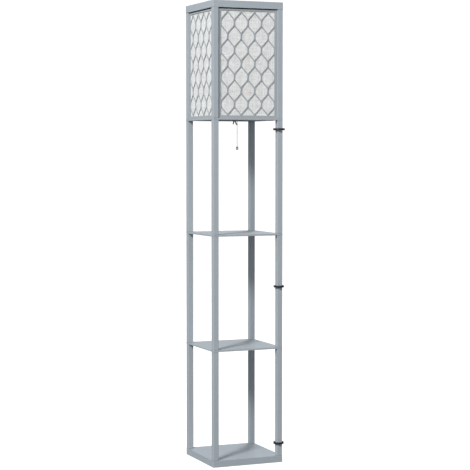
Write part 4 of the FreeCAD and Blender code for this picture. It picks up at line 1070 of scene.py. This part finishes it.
@dataclass(frozen=True)
class PanScrew:
    """A round-headed screw with a cross recess.

    After the four sizes, rim and sink are shares of the head's height, arm and slot of its radius,
    and plain, core and groove of the shank's radius.
    """

    head_radius: float
    head_high: float
    shank_radius: float
    shank_long: float
    rim: float = 0.35
    sink: float = 0.5
    arm: float = 0.58
    slot: float = 0.13
    plain: float = 0.8
    core: float = 0.62
    groove: float = 0.16
    steps: int = 48
    rings: int = 12
    shank_steps: int = 24

    def add(self, mould: Mould, seat: Matrix) -> None:
        """Adds the screw to a mesh.

        Args:
            mould: the mesh under construction.
            seat: the point under the head, with Z out through the head.
        """
        rows = [mould.ring([seat @ Vector((0, 0, self._top(0, 0)))])]
        for ring in range(1, self.rings + 1):
            reach = self.head_radius * math.sin(math.pi / 2 * ring / self.rings)
            row = []
            for index in range(self.steps):
                angle = math.tau * index / self.steps
                x, y = reach * math.cos(angle), reach * math.sin(angle)
                row.append(seat @ Vector((x, y, self._top(x, y))))
            rows.append(mould.ring(row))
        for first, second in zip(rows, rows[1:]):
            mould.bridge(first, second)
        flank = [(self.head_radius, self.head_high * self.rim), (self.head_radius, 0), (self.shank_radius, 0)]
        mould.turn(flank, seat, self.steps)
        point = self.shank_radius * self.core
        thread = Thread(low=self.shank_radius - self.shank_long, high=-self.shank_radius * self.plain,
                        pitch=point, depth=self.shank_radius * self.groove)
        profile = [(self.shank_radius, 0.0)]
        profile += [(self.shank_radius, level) for level in reversed(thread.levels())]
        profile += [(point, -self.shank_long), (0, -self.shank_long)]
        mould.turn(profile, seat, self.shank_steps, thread.swell)

    def _top(self, x: float, y: float) -> float:
        """The head's height over its seat, with its dome and recess.

        Args:
            x: how far right of the axis.
            y: how far behind it.

        Returns:
            The height.
        """
        share = min(1.0, math.hypot(x, y) / self.head_radius)
        dome = self.head_high * (self.rim + (1 - self.rim) * math.sqrt(max(0.0, 1 - share ** 2)))
        arm, half = self.head_radius * self.arm, self.head_radius * self.slot
        x, y = abs(x), abs(y)
        if (x < half and y < arm) or (y < half and x < arm):
            return dome - self.head_high * self.sink * (1 - max(x, y) / arm / 2)
        return dome


@dataclass
class Screws:
    """The screws of the base, the strap, the holder and the chain's bracket."""

    paint: PaintShop
    strap_place: tuple[float, float] = (0.069, 0.012)
    housing_place: float = 0.024
    strap_top: float = 1.203
    flange_top: float = 1.205
    holder_place: float = 0.010
    holder_top: float = 1.227
    guide_place: float = 0.0024
    guide_seat: float = 1.1935
    base_place: float = 0.1197
    base_seat: float = 0.006

    def build(self) -> None:
        """Makes the four kinds of screw and replaces their plain solids."""
        self._strap()
        self._holder()
        self._guide()
        self._base()

    def _strap(self) -> None:
        """Four screws through the strap and two through the switch's flange."""
        screw = PanScrew(head_radius=0.0032, head_high=0.00176, shank_radius=0.0016, shank_long=0.0065)
        mould = Mould()
        for x in (-self.strap_place[0], self.strap_place[0]):
            for y in (-self.strap_place[1], self.strap_place[1]):
                screw.add(mould, at(x, y, self.strap_top))
        for x in (-self.housing_place, self.housing_place):
            screw.add(mould, at(x, 0, self.flange_top))
        piece = mould.finish("strap_screw_set", Body.FRAME, "fastener_steel", self.paint)
        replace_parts(piece, "strap_screws")

    def _holder(self) -> None:
        """Two screws that hold the porcelain base to the switch."""
        screw = PanScrew(head_radius=0.0030, head_high=0.00165, shank_radius=0.0015, shank_long=0.009)
        mould = Mould()
        for x in (-self.holder_place, self.holder_place):
            screw.add(mould, at(x, 0, self.holder_top))
        piece = mould.finish("holder_screw_set", Body.FRAME, "fastener_steel", self.paint)
        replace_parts(piece, "holder_screws")

    def _guide(self) -> None:
        """The screw that holds the chain's bracket, with its head below."""
        screw = PanScrew(head_radius=0.0036, head_high=0.0024, shank_radius=0.0020, shank_long=0.0074)
        mould = Mould()
        screw.add(mould, at(self.guide_place, 0, self.guide_seat, flip=True))
        piece = mould.finish("bracket_screw", Body.FRAME, "fastener_steel", self.paint)
        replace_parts(piece, "guide_screw")

    def _base(self) -> None:
        """Four long screws up through the base into the posts."""
        screw = PanScrew(head_radius=0.006, head_high=0.004, shank_radius=0.003, shank_long=0.030)
        mould = Mould()
        for x in (-self.base_place, self.base_place):
            for y in (-self.base_place, self.base_place):
                screw.add(mould, at(x, y, self.base_seat, flip=True))
        piece = mould.finish("base_screw_set", Body.FRAME, "fastener_steel", self.paint)
        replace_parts(piece, "base_screws")


# ---------------------------------------------------------------- bulb and holder


@dataclass
class BulbAndHolder:
    """The screw-in bulb and the holder's threaded shell."""

    paint: PaintShop
    holder_seat: float = 1.227
    bulb_seat: float = 1.229
    shell_inner: float = 0.0138
    shell_outer: float = 0.0143
    shell_flange: float = 0.0181
    shell_high: float = 0.026
    cap_radius: float = 0.0132
    cap_high: float = 0.025
    body_high: float = 0.036
    globe_radius: float = 0.030
    globe_level: float = 0.078
    globe_cut: float = -0.017
    thread_pitch: float = 0.0036
    shell_thread: tuple[float, float] = (0.003, 0.025)
    shell_groove: float = 0.0003
    shell_rim: float = 0.0006
    cap_thread: tuple[float, float] = (0.0055, 0.023)
    cap_groove: float = 0.0009
    cap_crest: float = 0.0128
    cap_rim: float = 0.001
    cap_button: Profile = ((0.0, 0.0), (0.0035, 0.0), (0.0045, 0.0016), (0.0106, 0.0032), (0.0128, 0.005))
    body_foot: float = 0.0141
    body_flare: Profile = ((0.0145, 0.0006), (0.0145, 0.0079), (0.0198, 0.0238))
    body_lip: float = 0.0004
    round_steps: int = 72
    thread_steps: int = 64
    globe_steps: int = 36

    def build(self) -> None:
        """Makes the cap, the body, the globe and the threaded shell."""
        self._shell()
        self._cap()
        self._body()
        self._globe()

    def _shell(self) -> None:
        """The thin threaded sleeve that takes the bulb's cap."""
        thread = Thread(*self.shell_thread, pitch=self.thread_pitch, depth=self.shell_groove, rounded=True)
        outer = [(self.shell_flange, 0.0), (self.shell_flange, self.shell_rim)]
        outer += [(self.shell_outer, self.shell_rim)]
        outer += [(self.shell_outer, level) for level in thread.levels()]
        outer += [(self.shell_outer, self.shell_high), (self.shell_inner, self.shell_high)]
        inner = [(self.shell_inner, level) for level in reversed(thread.levels())]
        inner += [(self.shell_inner, 0.0), (self.shell_flange, 0.0)]
        mould = Mould()
        mould.turn(outer + inner, at(0, 0, self.holder_seat), self.thread_steps, thread.swell)
        mould.weld()
        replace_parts(mould.finish("threaded_sleeve", Body.FRAME, "contact_brass", self.paint), "screw_shell")

    def _cap(self) -> None:
        """The bulb's threaded metal cap with its contact button."""
        thread = Thread(*self.cap_thread, pitch=self.thread_pitch, depth=self.cap_groove, rounded=True)
        rim = self.cap_high - self.cap_rim
        profile = [*self.cap_button]
        profile += [(self.cap_crest, level) for level in thread.levels()]
        profile += [(self.cap_crest, rim), (self.cap_radius, rim), (self.cap_radius, self.cap_high)]
        profile += [(0.0, self.cap_high)]
        mould = Mould()
        mould.turn(profile, at(0, 0, self.bulb_seat), self.thread_steps, thread.swell)
        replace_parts(mould.finish("bulb_thread", Body.FRAME, "bulb_metal", self.paint), "bulb_cap")

    def _body(self) -> None:
        """The plastic body that flares from the cap to the globe."""
        mouth = math.sqrt(self.globe_radius ** 2 - self.globe_cut ** 2)
        flare = smooth_profile([*self.body_flare, (mouth, self.body_high - self.body_lip)])
        profile = [(0.0, 0.0), (self.body_foot, 0.0), *flare]
        profile += [(mouth - self.body_lip, self.body_high), (0.0, self.body_high)]
        mould = Mould()
        mould.turn(profile, at(0, 0, self.bulb_seat + self.cap_high), self.round_steps)
        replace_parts(mould.finish("bulb_shell", Body.FRAME, "bulb_plastic", self.paint), "bulb_body")

    def _globe(self) -> None:
        """The opal part of the globe, down to where the body holds it."""
        start = math.asin(self.globe_cut / self.globe_radius)
        profile = [(0.0, self.globe_cut)]
        for step in range(self.globe_steps):
            angle = start + (math.pi / 2 - start) * step / self.globe_steps
            profile.append((self.globe_radius * math.cos(angle), self.globe_radius * math.sin(angle)))
        profile.append((0.0, self.globe_radius))
        mould = Mould()
        mould.turn(profile, at(0, 0, self.bulb_seat + self.globe_level), self.round_steps)
        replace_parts(mould.finish("opal_globe", Body.FRAME, "bulb_glass", self.paint), "bulb_globe")


# ---------------------------------------------------------------- pull chain


@dataclass
class PullChain:
    """The bracket that the chain runs through, and the turned pull at the chain's end."""

    paint: PaintShop
    chain_place: float = 0.0127
    plate_low: float = 1.1935
    plate_thick: float = 0.002
    plate_left: float = -0.0040
    plate_right: float = 0.0088
    plate_wide: float = 0.008
    plate_soft: float = 0.0006
    left_leg: tuple[float, float] = (0.0012, -0.0026)
    right_leg: tuple[float, float] = (0.0036, 0.01015)
    splay: float = 0.8
    leg_steps: int = 12
    wire: float = 0.0021
    eye_level: float = 1.1813
    eye_radius: float = 0.00255
    eye_wire: float = 0.0008
    eye_steps: int = 24
    pull_low: float = 1.0923
    bell: Profile = (
        (0.0, 0.0), (0.0024, 0.0), (0.0030, 0.0003), (0.0042, 0.0016), (0.0047, 0.0031),
        (0.0047, 0.0060), (0.0045, 0.0072), (0.0041, 0.0078), (0.0041, 0.0092), (0.0034, 0.0104),
        (0.0022, 0.0112), (0.0018, 0.0119), (0.0014, 0.0124), (0.0, 0.0124))
    bell_soft: float = 0.0004
    # A dark band that paints the dark reflection on the chrome pull's shoulder.
    band: Profile = (
        (0.0012, 0.0084), (0.0040, 0.0084), (0.0043, 0.0088), (0.0042, 0.0096), (0.0038, 0.0104),
        (0.0030, 0.0112), (0.0020, 0.0117), (0.0012, 0.0119), (0.0012, 0.0084))
    band_soft: float = 0.0002

    def build(self) -> None:
        """Makes the bracket and the pull."""
        self._bracket()
        self._pull()

    def _bracket(self) -> None:
        """A small plate with two splayed wire legs, the right one ending in an eye."""
        mould = Mould()
        middle = (self.plate_left + self.plate_right) / 2
        size = Vector((self.plate_right - self.plate_left, self.plate_wide, self.plate_thick))
        mould.block(at(middle, 0, self.plate_low + self.plate_thick / 2), size, self.plate_soft)
        for leg in (self.left_leg, self.right_leg):
            mould.sweep([Vector((x, 0, z)) for x, z in self._leg(*leg)], self.wire)
        eye = []
        for step in range(self.eye_steps):
            angle = math.tau * step / self.eye_steps
            eye.append((self.eye_radius + self.eye_wire * math.cos(angle), self.eye_wire * math.sin(angle)))
        mould.turn([*eye, eye[0]], at(self.chain_place, 0, self.eye_level), 40)
        mould.weld()
        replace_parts(mould.finish("chain_bracket", Body.FRAME, "bronze_steel", self.paint), "chain_guide")

    def _leg(self, start: float, end: float) -> list[tuple[float, float]]:
        """A leg's line, which leaves the plate steeply and splays outward.

        Args:
            start: its X under the plate.
            end: its X at its foot.

        Returns:
            The line's (x, z) points.
        """
        top = self.plate_low + self.plate_soft
        foot = self.eye_level + self.eye_wire
        points = []
        for step in range(self.leg_steps + 1):
            share = step / self.leg_steps
            points.append((start + (end - start) * share ** self.splay, top + (foot - top) * share))
        return points

    def _pull(self) -> None:
        """A bell-shaped chrome pull with a dark band round its shoulder, which paints the dark reflection on
        the chrome.
        """
        place = at(self.chain_place, 0, self.pull_low)
        mould = Mould()
        mould.turn(rounded_corners(self.bell, self.bell_soft), place)
        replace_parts(mould.finish("chrome_bell", Body.HANGING_CHAIN, "chrome_pull", self.paint), "chain_pull")
        # The painted reflection: a separate dark ring in the bronze finish.
        mould = Mould()
        mould.turn([*rounded_corners(self.band, self.band_soft), self.band[0]], place)
        mould.weld()
        mould.finish("bell_band", Body.HANGING_CHAIN, "bronze_steel", self.paint)


# ---------------------------------------------------------------- cable rings, grommet and feet


@dataclass
class CableRings:
    """Black nylon hoops round the front right post, held off its corners by four lugs."""

    paint: PaintShop
    post: tuple[float, float] = (0.1197, -0.1197)
    high: float = 0.0072
    wall: float = 0.0016
    radius: float = 0.0182
    top_radius: float = 0.0204
    levels: tuple[float, float] = (0.0685, 0.618)
    top_level: float = 1.164
    soft: float = 0.0007
    lug_wide: float = 0.0024
    lug_lower: float = 0.0006
    lug_soft: float = 0.0005
    corner_reach: float = 0.01325
    steps: int = 72

    def hoop(self, mould: Mould, radius: float, level: float) -> None:
        """Adds one hoop with its lugs.

        Args:
            mould: the mesh under construction.
            radius: the hoop's outer radius.
            level: the height of its middle.
        """
        half = self.high / 2
        inner = radius - self.wall
        middle = ((inner + radius) / 2, -half)
        section = [middle, (radius, -half), (radius, half), (inner, half), (inner, -half), middle]
        mould.turn(rounded_corners(section, self.soft), at(*self.post, level), self.steps)
        length = radius - self.wall / 2 - self.corner_reach
        for quarter in range(4):
            turn = Matrix.Rotation(math.radians(45 + 90 * quarter), 4, "Z")
            place = at(*self.post, level) @ turn @ Matrix.Translation((self.corner_reach + length / 2, 0, 0))
            mould.block(place, Vector((length, self.lug_wide, self.high - self.lug_lower)), self.lug_soft, 2)

    def build(self) -> None:
        """Makes the two lower hoops as one piece and the top one as another."""
        mould = Mould()
        for level in self.levels:
            self.hoop(mould, self.radius, level)
        mould.weld()
        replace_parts(mould.finish("nylon_hoops", Body.FRAME, "ring_plastic", self.paint), "cable_rings")
        mould = Mould()
        self.hoop(mould, self.top_radius, self.top_level)
        mould.weld()
        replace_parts(mould.finish("top_nylon_hoop", Body.FRAME, "ring_plastic", self.paint), "top_cable_ring")


@dataclass
class FeetAndGrommet:
    """Rubber feet with a ribbed sole, and the rubber grommet in the lamp box's floor."""

    paint: PaintShop
    foot_place: float = 0.097
    foot_radius: float = 0.011
    foot_thick: float = 0.003
    foot_chamfer: tuple[float, float] = (0.0008, 0.0006)
    grooves: tuple[tuple[float, float], ...] = ((0.0030, 0.0048), (0.0068, 0.0086))
    groove: float = 0.0004
    groove_soft: float = 0.0002
    grommet_place: tuple[float, float] = (0.098, -0.098)
    grommet_level: float = 1.195
    board: float = 0.006
    lip: float = 0.0015
    lip_radius: float = 0.0085
    neck: float = 0.006
    lip_soft: float = 0.0006
    bore: float = 0.0036

    def build(self) -> None:
        """Makes the feet and the grommet."""
        self._feet()
        self._grommet()

    def _feet(self) -> None:
        """Five round feet, each with two ring grooves in its sole."""
        mould = Mould()
        places = [(0.0, 0.0)] + [(i * self.foot_place, j * self.foot_place) for i in (-1, 1) for j in (-1, 1)]
        sole = [(0.0, 0.0)]
        for inner, outer in self.grooves:
            sole += [(inner, 0.0), (inner + self.groove, self.groove), (outer - self.groove, self.groove)]
            sole += [(outer, 0.0)]
        across, up = self.foot_chamfer
        sole += [(self.foot_radius - across, 0.0), (self.foot_radius, up)]
        sole += [(self.foot_radius, self.foot_thick), (0.0, self.foot_thick)]
        for x, y in places:
            mould.turn(rounded_corners(sole, self.groove_soft, 2), at(x, y, 0), 40)
        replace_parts(mould.finish("rubber_feet", Body.FRAME, "foot_rubber", self.paint), "foot_pads")

    def _grommet(self) -> None:
        """The grommet, a sleeve with a lip on each face of the board."""
        top = self.board + self.lip
        middle = (self.bore, self.board / 2)
        loop = [middle, (self.bore, -self.lip), (self.lip_radius, -self.lip), (self.lip_radius, 0),
                (self.neck, 0), (self.neck, self.board), (self.lip_radius, self.board),
                (self.lip_radius, top), (self.bore, top), middle]
        mould = Mould()
        mould.turn(rounded_corners(loop, self.lip_soft), at(*self.grommet_place, self.grommet_level))
        mould.weld()
        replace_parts(mould.finish("rubber_grommet", Body.FRAME, "grommet_rubber", self.paint), "cable_grommet")


# ---------------------------------------------------------------- studio


@dataclass(frozen=True)
class SoftBox:
    """A round soft box that faces the lamp's middle.

    strength is how brightly it lights a face turned to it; round and up are the degrees from the
    front toward the left, and upward; away and wide are its distance and width in metres.
    """

    name: str
    strength: float
    round: float
    up: float
    away: float
    wide: float

    def add(self, aim: float) -> None:
        """Hangs the soft box up.

        Args:
            aim: the height it faces.
        """
        data = bpy.data.lights.new(self.name, "AREA")
        data.shape = "DISK"
        data.size = self.wide
        data.energy = self.strength * math.pi * self.away ** 2
        light = bpy.data.objects.new(self.name, data)
        light.rotation_euler = (math.radians(90 - self.up), 0, -math.radians(self.round))
        toward = light.rotation_euler.to_matrix() @ Vector((0, 0, self.away))
        light.location = toward + Vector((0, 0, aim))
        light.visible_camera = False
        bpy.context.scene.collection.objects.link(light)


@dataclass
class Studio:
    """A plain white studio with soft light, and the camera at the photograph's angle."""

    image: float = 470.0
    sensor: float = 36.0
    focal: float = 1512.96
    sees_to: float = 60.0
    yaw: float = 22.8465
    pitch: float = 3.1342
    stand: tuple[float, float, float] = (-2.06149, -4.90410, 1.08474)
    floor_half: float = 14.0
    key_box: SoftBox = SoftBox("key_light", strength=3.23, round=50.2, up=33.5, away=9.3, wide=2.3)
    back_box: SoftBox = SoftBox("back_light", strength=1.4, round=212.0, up=40.0, away=7.0, wide=2.0)
    aim: float = 0.8
    wall_glow: float = 0.80
    ceiling_glow: float = 0.0
    wall_seen: float = 1.1
    floor_bounce: float = 0.18
    floor_seen: float = 1.05

    def camera(self) -> None:
        """Sets the camera up."""
        data = bpy.data.cameras.new("photo_camera")
        data.sensor_width = self.sensor
        data.lens = self.sensor * self.focal / self.image
        data.clip_end = self.sees_to
        camera = bpy.data.objects.new("photo_camera", data)
        camera.location = self.stand
        camera.rotation_euler = (math.radians(90 - self.pitch), 0, math.radians(-self.yaw))
        bpy.context.scene.collection.objects.link(camera)
        bpy.context.scene.camera = camera

    def world(self) -> None:
        """A surround that looks pure white; it lights the lamp from the walls more than from above."""
        world = bpy.data.worlds.new("white_studio")
        world.use_nodes = True
        bpy.context.scene.world = world
        tree = Tree(world.node_tree)
        seen = world.node_tree.nodes["Background"]
        seen.inputs["Color"].default_value = (1.0, 1.0, 1.0, 1.0)
        seen.inputs["Strength"].default_value = self.wall_seen
        toward = tree.add("ShaderNodeTexCoord").outputs["Generated"]
        upward = tree.add("ShaderNodeSeparateXYZ", {0: toward}).outputs["Z"]
        glow = tree.spread(upward, low=self.wall_glow, high=self.ceiling_glow)
        lit = tree.add("ShaderNodeBackground", {"Color": (0.96, 0.98, 1.0), "Strength": glow})
        path = tree.add("ShaderNodeLightPath")
        mixed = tree.add("ShaderNodeMixShader", {0: path.outputs["Is Camera Ray"], 1: lit.outputs[0],
                                                 2: seen.outputs[0]})
        tree.feed(world.node_tree.nodes["World Output"].inputs["Surface"], mixed.outputs[0])

    def floor(self) -> None:
        """A broad white floor, which a camera under it sees through."""
        mesh = bmesh.new()
        bmesh.ops.create_grid(mesh, x_segments=4, y_segments=4, size=self.floor_half)
        data = bpy.data.meshes.new("studio_floor")
        mesh.to_mesh(data)
        mesh.free()
        material = bpy.data.materials.new("studio_white")
        material.use_nodes = True
        tree = Tree(material.node_tree)
        shader = material.node_tree.nodes["Principled BSDF"]
        tone = tree.spread(tree.noise(tree.place(), 3.0), low=0.97, high=1.0)
        bounce = (self.floor_bounce,) * 3
        tree.feed(shader.inputs["Base Color"], tree.brighten(bounce, tone))
        shader.inputs["Roughness"].default_value = 0.9
        shader.inputs["Emission Color"].default_value = (1.0, 1.0, 1.0, 1.0)
        looked_at = tree.add("ShaderNodeLightPath").outputs["Is Camera Ray"]
        tree.feed(shader.inputs["Emission Strength"], tree.maths("MULTIPLY", looked_at, self.floor_seen))
        back = tree.add("ShaderNodeNewGeometry").outputs["Backfacing"]
        hidden = tree.maths("MULTIPLY", looked_at, back)
        tree.feed(shader.inputs["Alpha"], tree.maths("SUBTRACT", 1.0, hidden))
        data.materials.append(material)
        piece = bpy.data.objects.new("studio_floor", data)
        bpy.context.scene.collection.objects.link(piece)

    def build(self) -> None:
        """Sets the studio up."""
        bpy.context.scene.view_settings.view_transform = "Standard"
        self.camera()
        self.world()
        self.floor()
        self.key_box.add(self.aim)
        self.back_box.add(self.aim)
        log.info("studio ready")


def main() -> None:
    """Dresses the lamp, piece by piece."""
    logging.basicConfig(level=logging.INFO, format="%(name)s: %(message)s")
    Studio().build()
    paint = PaintShop()
    paint.coat_nodes()
    for builder in (LinenShades, Screws, BulbAndHolder, PullChain, CableRings, FeetAndGrommet):
        builder(paint).build()
        log.info("%s done", builder.__name__)


if __name__ == "__main__":
    main()
